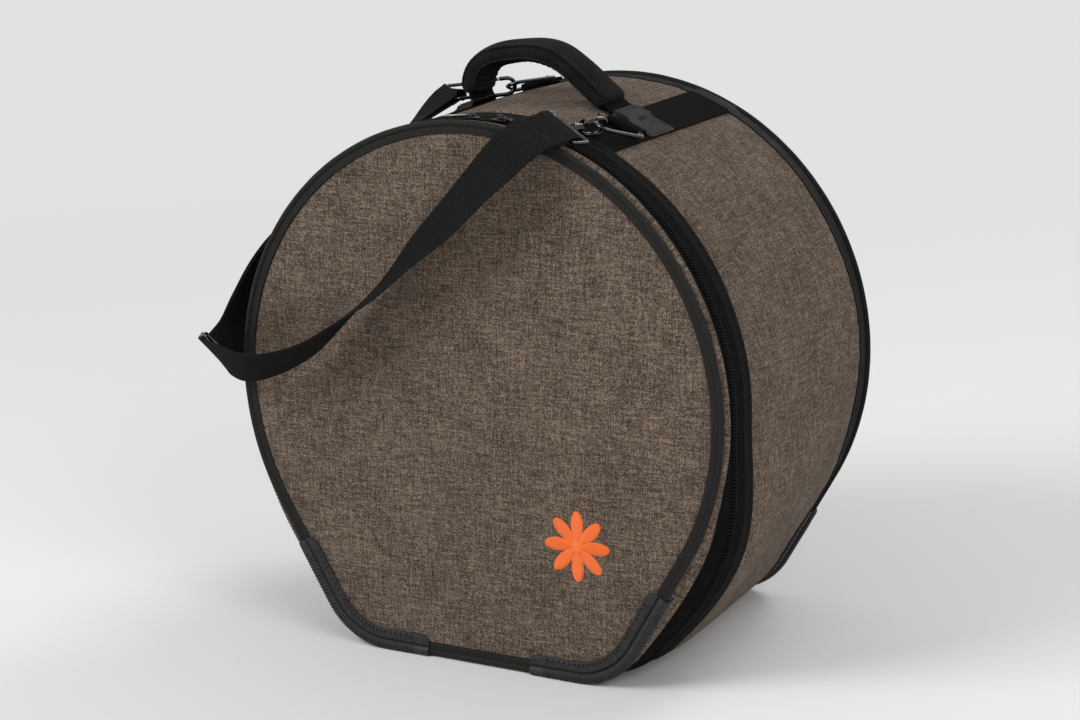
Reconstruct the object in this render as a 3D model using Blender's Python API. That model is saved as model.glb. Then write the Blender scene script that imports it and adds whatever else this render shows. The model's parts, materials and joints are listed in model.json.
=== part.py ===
"""Drum bag: a padded round case for a tom, with a zipped lid, a carry handle and a shoulder strap.

The bag stands on four rubber corner guards. X runs to the right seen from the front, Y to the rear,
Z up. Everything is first built in the bag's own frame, where the front piping lies at y = 0 on the
middle line x = 0, and then the whole bag is moved so that the middle of its footprint is the origin.
"""

import functools
import math

import bmesh
import bpy
from mathutils import Matrix, Vector

# The outline, measured to the outer edge of the piping.
bag_radius = 0.210
bag_depth = 0.256
base_half_width = 0.0837
corner_radius = 0.0612
round_centre_lift = 0.0017  # of the round part's centre above one radius
bulge_height = 0.0235  # how far the soft wall swells out over the lower corners
bulge_power_share = 1.3
bulge_depth_power_share = 0.45
bulge_start_share = 0.36  # of the half base
bulge_end_share = 0.365  # of the way from the corner to the top, along the round part

# Cloth, padding and thread gaps.
gap = 0.0003
shell_thickness = 0.0012
padding_thickness = 0.008
lining_thickness = 0.0008
wall_inset = 0.0035  # from the piping's outer edge to the wall's face

# Piping, its flat tapes and the rubber guards.
piping_radius = 0.0025
tape_thickness = 0.001
front_tape_width = 0.0052
rear_tape_width = 0.009
guard_wall = 0.0017
guard_flange_width = 0.010
guard_flange_thickness = 0.0012
guard_flat = 0.0009  # how much of the bead is pressed flat where the bag stands
guard_foot_length = 0.0387  # from the corner's start towards the middle
guard_rise_share = 0.85  # up the straight side, in corner radii

# The zip and the strips beside it.
lid_strip_width = 0.0084
zip_tape_width = 0.0117
tooth_width = 0.0021
tooth_height = 0.0016
zip_split = 0.0012  # between the two rows of teeth, where the slider's web runs
welt_width = 0.0139
welt_thickness = 0.0018
zip_tape_thickness = 0.0009

# Sliders and pulls.
slider_length = 0.0125
slider_width = 0.0088
slider_plate = 0.0013
slider_web = 0.0005
slider_play = 0.0005
lug_length = 0.0034
lug_width = 0.0020
lug_wall = 0.0006
pull_length = 0.027
pull_width = 0.0072
pull_thickness = 0.0012
pull_window_length = 0.0062
pull_rest_angle = 3.5
left_slider_angle = -2.6
right_slider_angle = 3.9

# Webbing, handle and its patches.
webbing_width = 0.038
webbing_thickness = 0.0015
band_angle = 22.0  # from the top to the middle of each band
patch_length = 0.038
patch_thickness = 0.001
handle_half_span = 0.062
handle_rise = 0.0423
grip_width = 0.036
grip_thickness = 0.018
grip_lift = 0.0105  # from the patch to the padded grip
core_thickness = 0.0030
core_width = 0.026
foot_lift = 0.0010  # of the handle's soft feet above their patches

# D-rings in their tabs.
ring_wire = 0.0015
ring_width = 0.038
ring_length = 0.037
ring_corner = 0.004
ring_nose_radius = 0.008
tab_width = 0.027
ring_seat = 0.0002  # between the tab's loop and the ring's bar
right_ring_setback = 0.0155  # from the patch's front edge to the ring's bar
left_ring_setback = 0.020  # from the rear tape to the ring's bar
right_ring_tilt = 8.0
left_ring_angle = -19.5
left_ring_tilt = 8.0

# Snap hooks.
hook_wire = 0.0016
hook_bend = 0.0066
hook_play = 0.0006
hook_nose = 0.0070
hook_spine = 0.0125
neck_start = 0.0190
neck_length = 0.0100
neck_radius = 0.0036
post_radius = 0.0017
eye_length = 0.0150
eye_width = 0.0444
eye_wire = 0.0014
eye_corner = 0.0015
gate_radius = 0.0013
gate_pin_radius = 0.0006
gate_pin_place = 0.0168
gate_pin_height = 0.0045
cheek_thickness = 0.0010
cheek_low = 0.0024
cheek_high = 0.0063

# Shoulder strap and its slide.
strap_width = 0.038
strap_thickness = 0.0016
fold_length = 0.024  # of the sewn double end at the right hook
doubled_spacing = 0.0024  # between the middles of the strap's two layers
eye_landing = 0.008  # straight strap before the left eye's bar
doubled_merge = 0.030  # below the left eye, where the layers come together
doubled_start = 0.0118  # from the slide's middle to the end of the outer layer
slide_bar_radius = 0.0013
slide_bar_spacing = 0.0095
slide_straight = 0.016  # half the straight stretch of strap that the slide grips
slide_corner = 0.002

# The stitched rosette on the front.
rosette_radius = 0.028
rosette_waist_share = 0.42
rosette_thickness = 0.0008
rosette_petals = 8
rosette_x = 0.088
rosette_drop = 0.105  # below the middle of the round part

# Shape of the handle's middle line: across in half spans, up in rises.
handle_line_shares = (
    (-1.00, 0.00),
    (-1.05, 0.16),
    (-1.06, 0.41),
    (-0.97, 0.68),
    (-0.77, 0.87),
    (-0.48, 0.965),
    (-0.18, 1.00),
    (0.10, 0.92),
    (0.355, 0.705),
    (0.645, 0.375),
    (0.86, 0.13),
    (0.95, 0.00),
)

# Direction of each hook from its ring towards the strap, and of its eye's bar.
right_hook_shares = ((-0.25, -0.96, 0.10), (0.857, -0.303, -0.416))
left_hook_shares = ((-0.70, -0.70, -0.05), (0.60, -0.795, -0.10))

# The strap's middle line, as (x in radii, y in depths, z in radii from the round part's centre), and
# the direction across the strap there. The front run hangs before the lid, the side run beside it.
front_run_shares = (
    ((0.286, -0.047, 0.976), (0.88, -0.23, -0.41)),
    ((0.253, -0.094, 0.939), (0.84, -0.28, -0.47)),
    ((0.210, -0.118, 0.892), (0.69, -0.39, -0.61)),
    ((0.136, -0.118, 0.823), (0.59, -0.50, -0.63)),
    ((-0.017, -0.110, 0.671), (0.51, -0.62, -0.59)),
    ((-0.166, -0.100, 0.541), (0.40, -0.79, -0.46)),
    ((-0.301, -0.100, 0.402), (0.28, -0.92, -0.28)),
    ((-0.438, -0.105, 0.287), (0.14, -0.99, -0.09)),
    ((-0.560, -0.114, 0.188), (-0.02, -1.00, 0.08)),
    ((-0.670, -0.112, 0.119), (-0.17, -0.94, 0.29)),
    ((-0.793, -0.106, 0.067), (-0.22, -0.83, 0.51)),
    ((-0.901, -0.102, 0.042), (-0.30, -0.64, 0.70)),
    ((-0.980, -0.092, 0.042), (-0.43, -0.40, 0.80)),
)
slide_place_share = (-1.117, 0.004, 0.034)
slide_across_share = (-0.66, -0.18, 0.70)
slide_along_share = (-0.45, 0.88, -0.20)
side_run_shares = (
    ((-1.140, 0.141, 0.080), (-0.62, -0.48, 0.58)),
    ((-1.110, 0.180, 0.186), (-0.50, -0.75, 0.38)),
    ((-1.062, 0.219, 0.314), (-0.38, -0.88, 0.20)),
    ((-0.998, 0.273, 0.433), (-0.25, -0.95, 0.12)),
    ((-0.895, 0.344, 0.557), (-0.08, -0.97, 0.10)),
    ((-0.762, 0.406, 0.690), (0.12, -0.97, 0.05)),
    ((-0.624, 0.488, 0.824), (0.38, -0.92, -0.03)),
)

# Derived sizes.
round_centre_height = bag_radius + round_centre_lift
foot_height = guard_wall + gap - guard_flat  # of the piping's lowest edge above the ground
centre_height = foot_height + round_centre_height
wall_offset = -wall_inset
inner_face_offset = -(2 * piping_radius + gap)
zip_end_x = base_half_width - guard_foot_length
guard_radius = piping_radius + gap + guard_wall
strip_start = piping_radius + gap
lid_strip_end = lid_strip_width
lid_tape_start = lid_strip_end + gap
lid_tape_end = lid_tape_start + zip_tape_width
lid_teeth_start = lid_tape_end + gap
lid_teeth_end = lid_teeth_start + tooth_width
body_teeth_start = lid_teeth_end + zip_split
body_teeth_end = body_teeth_start + tooth_width
body_tape_start = body_teeth_end + gap
body_tape_end = body_tape_start + zip_tape_width
welt_start = body_tape_end + gap
welt_end = welt_start + welt_width
wall_start = welt_end + gap
wall_end = bag_depth - piping_radius - gap
zip_middle = (lid_teeth_end + body_teeth_start) / 2
rear_tape_start = wall_end - rear_tape_width
band_offset = wall_offset + gap + webbing_thickness
patch_start = bag_depth / 2 - patch_length / 2
patch_end = patch_start + patch_length
sharp_angle = math.radians(38)

colours = {
    "woven_cloth": ((0.135, 0.107, 0.083), 0.92, 0.0),
    "lining": ((0.020, 0.020, 0.021), 0.90, 0.0),
    "padding": ((0.060, 0.060, 0.062), 0.95, 0.0),
    "piping": ((0.024, 0.026, 0.028), 0.62, 0.0),
    "rubber": ((0.028, 0.030, 0.033), 0.55, 0.0),
    "zip_tape": ((0.010, 0.010, 0.011), 0.88, 0.0),
    "zip_teeth": ((0.014, 0.014, 0.015), 0.45, 0.0),
    "webbing": ((0.012, 0.012, 0.013), 0.80, 0.0),
    "grip": ((0.011, 0.011, 0.012), 0.90, 0.0),
    "vinyl": ((0.018, 0.018, 0.019), 0.50, 0.0),
    "black_metal": ((0.010, 0.010, 0.011), 0.25, 0.85),
    "thread": ((0.80, 0.16, 0.02), 0.55, 0.0),
}


def clear_scene():
    """Take away whatever the scene holds."""
    for old in list(bpy.data.objects):
        bpy.data.objects.remove(old, do_unlink=True)


def make_material(name):
    colour, roughness, metallic = colours[name]
    material = bpy.data.materials.new(name)
    material.use_nodes = True
    shader = material.node_tree.nodes["Principled BSDF"]
    shader.inputs["Base Color"].default_value = (*colour, 1.0)
    shader.inputs["Roughness"].default_value = roughness
    shader.inputs["Metallic"].default_value = metallic
    material.diffuse_color = (*colour, 1.0)
    return material


def finish(mesh_data, name, material, parent, smooth=True):
    """Turn a bmesh into a named object whose faces point out."""
    bmesh.ops.recalc_face_normals(mesh_data, faces=mesh_data.faces)
    mesh = bpy.data.meshes.new(name)
    mesh_data.to_mesh(mesh)
    mesh_data.free()
    if smooth:
        mesh.shade_smooth()
        mesh.set_sharp_from_angle(angle=sharp_angle)
    mesh.materials.append(materials[material])
    piece = bpy.data.objects.new(name, mesh)
    bpy.context.collection.objects.link(piece)
    piece.parent = parent
    return piece


def pivot(name, place, parent=None):
    """An empty on a joint's axis, which carries the pieces that move about it."""
    empty = bpy.data.objects.new(name, None)
    bpy.context.collection.objects.link(empty)
    empty.parent = parent
    empty.location = Vector(place) - (parent_place(parent) if parent else Vector((0, 0, 0)))
    return empty


def parent_place(empty):
    place = Vector((0, 0, 0))
    while empty:
        place += empty.location
        empty = empty.parent
    return place


def seat(piece):
    """Move the mesh so that a piece built in the bag's frame keeps its place under its parent."""
    piece.data.transform(Matrix.Translation(-parent_place(piece.parent)))
    return piece


# The outline and what is swept along it.


class Station:
    """A point of the bag's outline: where it is, which way is out, and how far along it lies."""

    def __init__(self, x, z, out_x, out_z, along):
        self.x, self.z, self.out_x, self.out_z, self.along = x, z, out_x, out_z, along

    def mirrored(self):
        return Station(-self.x, self.z, -self.out_x, self.out_z, self.along)


def tangent_turn():
    """How far the outline has turned, from straight down, where the side meets the round part."""
    rise = round_centre_height - corner_radius
    reach = math.hypot(base_half_width, rise)
    return math.atan2(base_half_width, rise) + math.acos((bag_radius - corner_radius) / reach)


@functools.cache
def half_outline():
    """Stations on the right half, from the middle of the base round the corner up to the top."""
    turn = tangent_turn()
    corner = Vector((base_half_width, corner_radius))
    centre = Vector((0, round_centre_height))
    out = Vector((math.sin(turn), -math.cos(turn)))
    side_low = corner + out * corner_radius
    side_high = centre + out * bag_radius
    along_corner = base_half_width
    along_side = along_corner + corner_radius * turn
    along_round = along_side + (side_high - side_low).length
    stations = []
    for x in (0.0, zip_end_x / 2, zip_end_x, (zip_end_x + base_half_width) / 2):
        stations.append(Station(x, 0.0, 0.0, -1.0, x))
    corner_steps = 5
    for step in range(corner_steps):
        a = turn * step / corner_steps
        way = Vector((math.sin(a), -math.cos(a)))
        spot = corner + way * corner_radius
        stations.append(Station(spot.x, spot.y, way.x, way.y, along_corner + corner_radius * a))
    side_steps = 3
    for step in range(side_steps):
        spot = side_low.lerp(side_high, step / side_steps)
        along = along_side + (along_round - along_side) * step / side_steps
        stations.append(Station(spot.x, spot.y, out.x, out.y, along))
    round_steps = 20
    for step in range(round_steps + 1):
        a = turn + (math.pi - turn) * step / round_steps
        way = Vector((math.sin(a), -math.cos(a)))
        spot = centre + way * bag_radius
        stations.append(Station(spot.x, spot.y, way.x, way.y, along_round + bag_radius * (a - turn)))
    return stations


def whole_outline():
    """The closed outline: up the right side from the middle of the base, and down the left."""
    right = half_outline()
    left = [s.mirrored() for s in reversed(right[1:-1])]
    return right + left


def zipped_outline():
    """The stretch with the zip: all of the outline but the middle of the base."""
    right = [s for s in half_outline() if s.along >= zip_end_x - gap]
    return right + [s.mirrored() for s in reversed(right[:-1])]


def base_outline():
    """The middle of the base, from its left end to its right end, a gap short of the zip's ends."""
    short = (zip_end_x - gap) / zip_end_x
    xs = [zip_end_x * short * share for share in (-1, -0.5, 0, 0.5, 1)]
    return [Station(x, 0.0, 0.0, -1.0, abs(x)) for x in xs]


def bulge(station, depth):
    """How far the soft wall swells at a station and a depth."""
    turn = tangent_turn()
    low = bulge_start_share * base_half_width
    high_station = half_outline()[-1].along
    corner_end = base_half_width + corner_radius * turn
    high = corner_end + bulge_end_share * (high_station - corner_end)
    share = min(max((station.along - low) / (high - low), 0.0), 1.0) ** bulge_power_share
    deep = min(max((depth - strip_start) / (bag_depth - 2 * strip_start), 0.0), 1.0)
    deep = deep**bulge_depth_power_share
    return bulge_height * math.sin(math.pi * share) ** 2 * math.sin(math.pi * deep)


def sweep(name, stations, profile, material, parent, closed, swell=True, floor=None):
    """Carry a closed profile of (offset, depth) points along stations of the outline."""
    mesh_data = bmesh.new()
    rings = []
    for station in stations:
        ring = []
        for offset, depth in profile:
            out = offset + (bulge(station, depth) if swell else 0.0)
            x = station.x + station.out_x * out
            z = station.z + station.out_z * out + foot_height
            if floor is not None:
                z = max(z, floor)
            ring.append(mesh_data.verts.new((x, depth, z)))
        rings.append(ring)
    pairs = list(zip(rings, rings[1:]))
    if closed:
        pairs.append((rings[-1], rings[0]))
    count = len(profile)
    for first, second in pairs:
        for i in range(count):
            j = (i + 1) % count
            # Every layer folds along the same diagonal, so that the layers don't cut each other.
            if profile[j][1] > profile[i][1]:
                mesh_data.faces.new((first[i], first[j], second[j]))
                mesh_data.faces.new((first[i], second[j], second[i]))
            else:
                mesh_data.faces.new((first[i], first[j], second[i]))
                mesh_data.faces.new((first[j], second[j], second[i]))
    if not closed:
        mesh_data.faces.new(rings[0])
        mesh_data.faces.new(rings[-1])
    return seat(finish(mesh_data, name, material, parent))


def strip_profile(outer_offset, thickness, depths):
    """A flat strip's section: its outer face forward along the depths, its inner face back."""
    outer = [(outer_offset, depth) for depth in depths]
    inner = [(outer_offset - thickness, depth) for depth in reversed(depths)]
    return outer + inner


def round_profile(offset, depth, radius, sides):
    return [
        (offset + radius * math.cos(math.tau * i / sides), depth + radius * math.sin(math.tau * i / sides))
        for i in range(sides)
    ]


def plate(name, offset, front, rear, material, parent):
    """A flat panel that fills the outline, inset by an offset."""
    mesh_data = bmesh.new()
    faces = []
    for depth in (front, rear):
        ring = []
        for s in whole_outline():
            place = (s.x + s.out_x * offset, depth, s.z + s.out_z * offset + foot_height)
            ring.append(mesh_data.verts.new(place))
        faces.append(ring)
    mesh_data.faces.new(faces[0])
    mesh_data.faces.new(faces[1])
    count = len(faces[0])
    for i in range(count):
        j = (i + 1) % count
        mesh_data.faces.new((faces[0][i], faces[0][j], faces[1][j], faces[1][i]))
    return seat(finish(mesh_data, name, material, parent))


def guard_stations(side):
    """The stretch of outline that a corner guard covers, on the right (1) or the left (-1)."""
    turn = tangent_turn()
    corner_end = base_half_width + corner_radius * turn
    stations = [s for s in half_outline() if zip_end_x - gap < s.along < corner_end + gap]
    rise = guard_rise_share * corner_radius
    low = stations[-1]
    ahead = Vector((math.cos(turn), math.sin(turn)))
    end = Vector((low.x, low.z)) + ahead * rise
    stations.append(Station(end.x, end.y, low.out_x, low.out_z, low.along + rise))
    return stations if side > 0 else [s.mirrored() for s in stations]


def bead_point(radius, degrees, bead_depth):
    """A point round the piping's middle: 0 points out of the bag, 90 to the rear."""
    a = math.radians(degrees)
    return (radius * math.cos(a) - piping_radius, bead_depth + radius * math.sin(a))


def front_guard_profile():
    """A rubber channel over the bead, with a flange that lies on the lid's face."""
    outer = [bead_point(guard_radius, a, 0.0) for a in (33, 12, -12, -38, -64, -90)]
    inner = [bead_point(piping_radius + gap, a, 0.0) for a in (-140, -105, -70, -35, 0, 33)]
    rest = -(2 * gap + tape_thickness)
    top = rest - guard_flange_thickness
    shoulder = inner_face_offset - guard_wall
    far = inner_face_offset - guard_flange_width
    return outer + [(shoulder, top), (far, top), (far, rest), (inner_face_offset, rest)] + inner


def rear_guard_profile():
    """The same channel at the rear, with its flange on the wall, over the rear tape."""
    outer = [bead_point(guard_radius, a, bag_depth) for a in (115, 90, 65, 40, 15, -10, -35)]
    inner = [bead_point(piping_radius + gap, a, bag_depth) for a in (-70, -35, 0, 40, 75, 115)]
    rest = wall_offset + tape_thickness + 2 * gap
    top = rest + guard_flange_thickness
    start = bag_depth - guard_radius
    far = start - guard_flange_width
    flange = [(top, start), (top, far), (rest, far), (rest, bag_depth - piping_radius - 2 * gap)]
    return outer + flange + inner


# Solids along a path, for webbing, wire and the handle.


def smooth_points(points, per_span):
    """Points on a curve through the given ones, with a few more in each span."""
    ends = [points[0] * 2 - points[1]] + list(points) + [points[-1] * 2 - points[-2]]
    result = []
    for i in range(1, len(ends) - 2):
        a, b, c, d = ends[i - 1], ends[i], ends[i + 1], ends[i + 2]
        for step in range(per_span):
            t = step / per_span
            spot = 2 * b + (c - a) * t
            spot = spot + (2 * a - 5 * b + 4 * c - d) * t * t + (3 * b - a - 3 * c + d) * t * t * t
            result.append(spot / 2)
    result.append(points[-1].copy())
    return result


def frames(points, across):
    """At each point the way ahead, the way across, and the way out of the face."""
    result = []
    for i, point in enumerate(points):
        ahead = points[min(i + 1, len(points) - 1)] - points[max(i - 1, 0)]
        ahead.normalize()
        side = across[i] - ahead * across[i].dot(ahead)
        side.normalize()
        result.append((point, ahead, side, ahead.cross(side)))
    return result


def ribbon(name, line, width, thickness, material, parent):
    """A flat band of one width and thickness along frames."""
    mesh_data = bmesh.new()
    rings = []
    for point, _, side, out in line:
        corners = ((1, 1), (1, -1), (-1, -1), (-1, 1))
        ring = [
            mesh_data.verts.new(point + side * (width / 2 * a) + out * (thickness / 2 * b))
            for a, b in corners
        ]
        rings.append(ring)
    for first, second in zip(rings, rings[1:]):
        for i in range(4):
            j = (i + 1) % 4
            # Both faces of a twisted band fold along the same line, so that they don't cross.
            if i < 2:
                mesh_data.faces.new((first[i], first[j], second[i]))
                mesh_data.faces.new((first[j], second[j], second[i]))
            else:
                mesh_data.faces.new((first[i], first[j], second[j]))
                mesh_data.faces.new((first[i], second[j], second[i]))
    mesh_data.faces.new(rings[0])
    mesh_data.faces.new(rings[-1])
    return seat(finish(mesh_data, name, material, parent))


def wire_rings(mesh_data, points, normal, radius, sides, closed):
    """Round wire rings that follow a path lying in one plane."""
    rings = []
    count = len(points)
    for i, point in enumerate(points):
        before = points[(i - 1) % count] if closed else points[max(i - 1, 0)]
        after = points[(i + 1) % count] if closed else points[min(i + 1, count - 1)]
        ahead = (after - before).normalized()
        side = ahead.cross(normal).normalized()
        ring = []
        for k in range(sides):
            a = math.tau * k / sides
            ring.append(mesh_data.verts.new(point + (side * math.cos(a) + normal * math.sin(a)) * radius))
        rings.append(ring)
    return rings


def skin(mesh_data, rings, closed):
    pairs = list(zip(rings, rings[1:]))
    if closed:
        pairs.append((rings[-1], rings[0]))
    for first, second in pairs:
        count = len(first)
        for i in range(count):
            j = (i + 1) % count
            mesh_data.faces.new((first[i], first[j], second[j], second[i]))
    if not closed:
        mesh_data.faces.new(rings[0])
        mesh_data.faces.new(rings[-1])


def wire(name, points, normal, radius, material, parent, closed, sides=8):
    mesh_data = bmesh.new()
    skin(mesh_data, wire_rings(mesh_data, points, normal, radius, sides, closed), closed)
    return seat(finish(mesh_data, name, material, parent))


def arc_points(centre, first, second, radius, start, stop, steps):
    """Points on an arc in the plane of two directions, angles in degrees."""
    result = []
    for i in range(steps + 1):
        a = math.radians(start + (stop - start) * i / steps)
        result.append(centre + (first * math.cos(a) + second * math.sin(a)) * radius)
    return result


def rounded_rectangle(middle, first, second, length, width, corner, steps):
    """Points round a rectangle with round corners: its length lies along the first direction."""
    points = []
    for far, right, start in ((1, 1, 90), (1, -1, 0), (-1, -1, -90), (-1, 1, -180)):
        centre = middle + first * (far * (length / 2 - corner))
        centre += second * (right * (width / 2 - corner))
        points += arc_points(centre, first, second, corner, start, start - 90, steps)
    return points


def block(name, frame, low, high, material, parent):
    """A box between two corners, in a frame of origin and three directions."""
    origin, first, second, third = frame
    mesh_data = bmesh.new()
    corners = {}
    for i in (0, 1):
        for j in (0, 1):
            for k in (0, 1):
                u = (low[0], high[0])[i]
                v = (low[1], high[1])[j]
                w = (low[2], high[2])[k]
                corners[i, j, k] = mesh_data.verts.new(origin + first * u + second * v + third * w)
    for axis in range(3):
        for end in (0, 1):
            ring = []
            for a, b in ((0, 0), (0, 1), (1, 1), (1, 0)):
                key = [a, b]
                key.insert(axis, end)
                ring.append(corners[tuple(key)])
            mesh_data.faces.new(ring)
    return seat(finish(mesh_data, name, material, parent, smooth=False))


def prism(name, frame, outline, low, high, material, parent, smooth=True):
    """An outline in the first two directions of a frame, run along the third."""
    origin, first, second, third = frame
    mesh_data = bmesh.new()
    rings = []
    for w in (low, high):
        rings.append([mesh_data.verts.new(origin + first * u + second * v + third * w) for u, v in outline])
    skin(mesh_data, rings, False)
    return seat(finish(mesh_data, name, material, parent, smooth))


def rod(name, start, end, radius, material, parent, sides=12):
    ahead = (end - start).normalized()
    helper = Vector((0, 0, 1)) if abs(ahead.z) < 0.9 else Vector((1, 0, 0))
    first = ahead.cross(helper).normalized()
    second = ahead.cross(first)
    outline = [
        (radius * math.cos(math.tau * k / sides), radius * math.sin(math.tau * k / sides))
        for k in range(sides)
    ]
    length = (end - start).length
    return prism(name, (start, first, second, ahead), outline, 0.0, length, material, parent)


def combine(piece, others, operation):
    """Fuse or cut a piece by others, which then go."""
    for other in others:
        other.hide_render = True
        other.display_type = "WIRE"
        modifier = piece.modifiers.new(operation.lower(), "BOOLEAN")
        modifier.operation = operation
        modifier.solver = "EXACT"
        modifier.object = other
    depsgraph = bpy.context.evaluated_depsgraph_get()
    depsgraph.update()
    mesh = bpy.data.meshes.new_from_object(piece.evaluated_get(depsgraph))
    piece.modifiers.clear()
    old = piece.data
    piece.data = mesh
    mesh.name = old.name
    mesh.shade_smooth()
    mesh.set_sharp_from_angle(angle=sharp_angle)
    for other in others:
        bpy.data.objects.remove(other, do_unlink=True)
    return piece


def on_wall(angle, depth, offset=0.0):
    """A place on the round part: angle from the top in degrees, right positive."""
    a = math.radians(angle)
    radius = bag_radius + offset
    return Vector((radius * math.sin(a), depth, centre_height + radius * math.cos(a)))


def wall_frame(angle, depth, offset):
    """A frame on the round part: along the wall to the right, to the rear, and out."""
    a = math.radians(angle)
    along = Vector((math.cos(a), 0, -math.sin(a)))
    out = Vector((math.sin(a), 0, math.cos(a)))
    return on_wall(angle, depth, offset), along, Vector((0, 1, 0)), out


def curved_patch(name, angle, width, front, rear, offset, thickness, material, parent):
    """A piece that lies on the round part, bent to it."""
    steps = 6
    half = math.degrees(width / 2 / bag_radius)
    mesh_data = bmesh.new()
    rings = []
    for i in range(steps + 1):
        a = angle - half + 2 * half * i / steps
        places = ((front, offset), (rear, offset), (rear, offset + thickness), (front, offset + thickness))
        rings.append([mesh_data.verts.new(on_wall(a, depth, out)) for depth, out in places])
    skin(mesh_data, rings, False)
    return seat(finish(mesh_data, name, material, parent))


# The parts of the bag.


def build_body(bag):
    """The body's outer cloth, padding and lining, its rear panel, and the piping and tape there."""
    ring = whole_outline()
    rear_pad_end = bag_depth - shell_thickness - gap
    rear_pad_start = rear_pad_end - padding_thickness
    lining_end = rear_pad_start - gap
    lining_stop = lining_end - lining_thickness - gap
    depths = [wall_start + (lining_stop - wall_start) * share for share in (0.0, 0.25, 0.5, 0.75, 1.0)]
    wall = strip_profile(wall_offset, shell_thickness, depths + [wall_end])
    sweep("body_wall", ring, wall, "woven_cloth", bag, True)
    plate("rear_panel", inner_face_offset, bag_depth - shell_thickness, bag_depth, "woven_cloth", bag)
    pad_outer = wall_offset - shell_thickness - gap
    lining_outer = pad_outer - padding_thickness - gap
    plate("rear_padding", pad_outer - gap, rear_pad_start, rear_pad_end, "padding", bag)
    plate("rear_lining", lining_outer, lining_end - lining_thickness, lining_end, "lining", bag)
    padding = strip_profile(pad_outer, padding_thickness, depths + [lining_end])
    sweep("body_padding", ring, padding, "padding", bag, True)
    sweep("body_lining", ring, strip_profile(lining_outer, lining_thickness, depths), "lining", bag, True)
    bead = round_profile(-piping_radius, bag_depth, piping_radius, 8)
    sweep("rear_piping", ring, bead, "piping", bag, True, False)
    tape = strip_profile(wall_offset + gap + tape_thickness, tape_thickness, (rear_tape_start, wall_end))
    sweep("rear_tape", ring, tape, "piping", bag, True)


def build_guards(lid, bag):
    for side, word in ((1, "right"), (-1, "left")):
        path = guard_stations(side)
        sweep(f"front_guard_{word}", path, front_guard_profile(), "rubber", lid, False, False, 0.0)
        sweep(f"rear_guard_{word}", path, rear_guard_profile(), "rubber", bag, False, True, 0.0)


def build_lid(lid):
    """The stiff front panel with its padding and lining, its piping and tape, and the soft rim."""
    ring = whole_outline()
    plate("front_panel", inner_face_offset, 0.0, shell_thickness, "woven_cloth", lid)
    pad_start = shell_thickness + gap
    pad_end = pad_start + padding_thickness
    plate("lid_padding", inner_face_offset, pad_start, pad_end, "padding", lid)
    plate("lid_lining", inner_face_offset, pad_end + gap, pad_end + gap + lining_thickness, "lining", lid)
    bead = round_profile(-piping_radius, 0.0, piping_radius, 8)
    sweep("front_piping", ring, bead, "piping", lid, True, False)
    far = inner_face_offset - front_tape_width
    face = (-gap - tape_thickness, -gap)
    tape = [(inner_face_offset, face[0]), (far, face[0]), (far, face[1]), (inner_face_offset, face[1])]
    sweep("front_tape", ring, tape, "piping", lid, True, False)
    zipped = zipped_outline()
    middle = (strip_start + lid_strip_end) / 2
    strip = strip_profile(wall_offset, shell_thickness, (strip_start, middle, lid_strip_end))
    sweep("lid_rim", zipped, strip, "woven_cloth", lid, False)
    build_zip_side("lid", zipped, (lid_tape_start, lid_tape_end), (lid_teeth_start, lid_teeth_end), lid)


def build_zip_side(word, zipped, tape_depths, teeth_depths, parent):
    """One half of the zip: its woven tape and its row of teeth."""
    tape = strip_profile(wall_offset, zip_tape_thickness, tape_depths)
    sweep(f"zip_tape_{word}", zipped, tape, "zip_tape", parent, False)
    outer = wall_offset + (tooth_height - zip_tape_thickness) / 2
    teeth = strip_profile(outer, tooth_height, teeth_depths)
    sweep(f"zip_teeth_{word}", zipped, teeth, "zip_teeth", parent, False)


def build_body_edge(bag):
    """The body's half of the zip, the welt behind it, and the cloth hinge under the lid."""
    zipped = zipped_outline()
    build_zip_side("body", zipped, (body_tape_start, body_tape_end), (body_teeth_start, body_teeth_end), bag)
    welt = strip_profile(wall_offset + welt_thickness / 3, welt_thickness, (welt_start, welt_end))
    sweep("zip_welt", zipped, welt, "piping", bag, False)
    hinge = strip_profile(wall_offset, shell_thickness, (strip_start, welt_end))
    sweep("hinge_strip", base_outline(), hinge, "woven_cloth", bag, False, False)


def pull_hole():
    """The radius of the hole in a slider's lug, and its height above the tape."""
    radius = pull_thickness / 2 * math.sqrt(2) + gap / 2
    high = (tooth_height - zip_tape_thickness) / 2 + slider_play + slider_plate
    return radius, high + gap + radius


def pull_axis_place(angle):
    origin, _, _, out = wall_frame(angle, zip_middle, wall_offset)
    return origin + out * pull_hole()[1]


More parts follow.
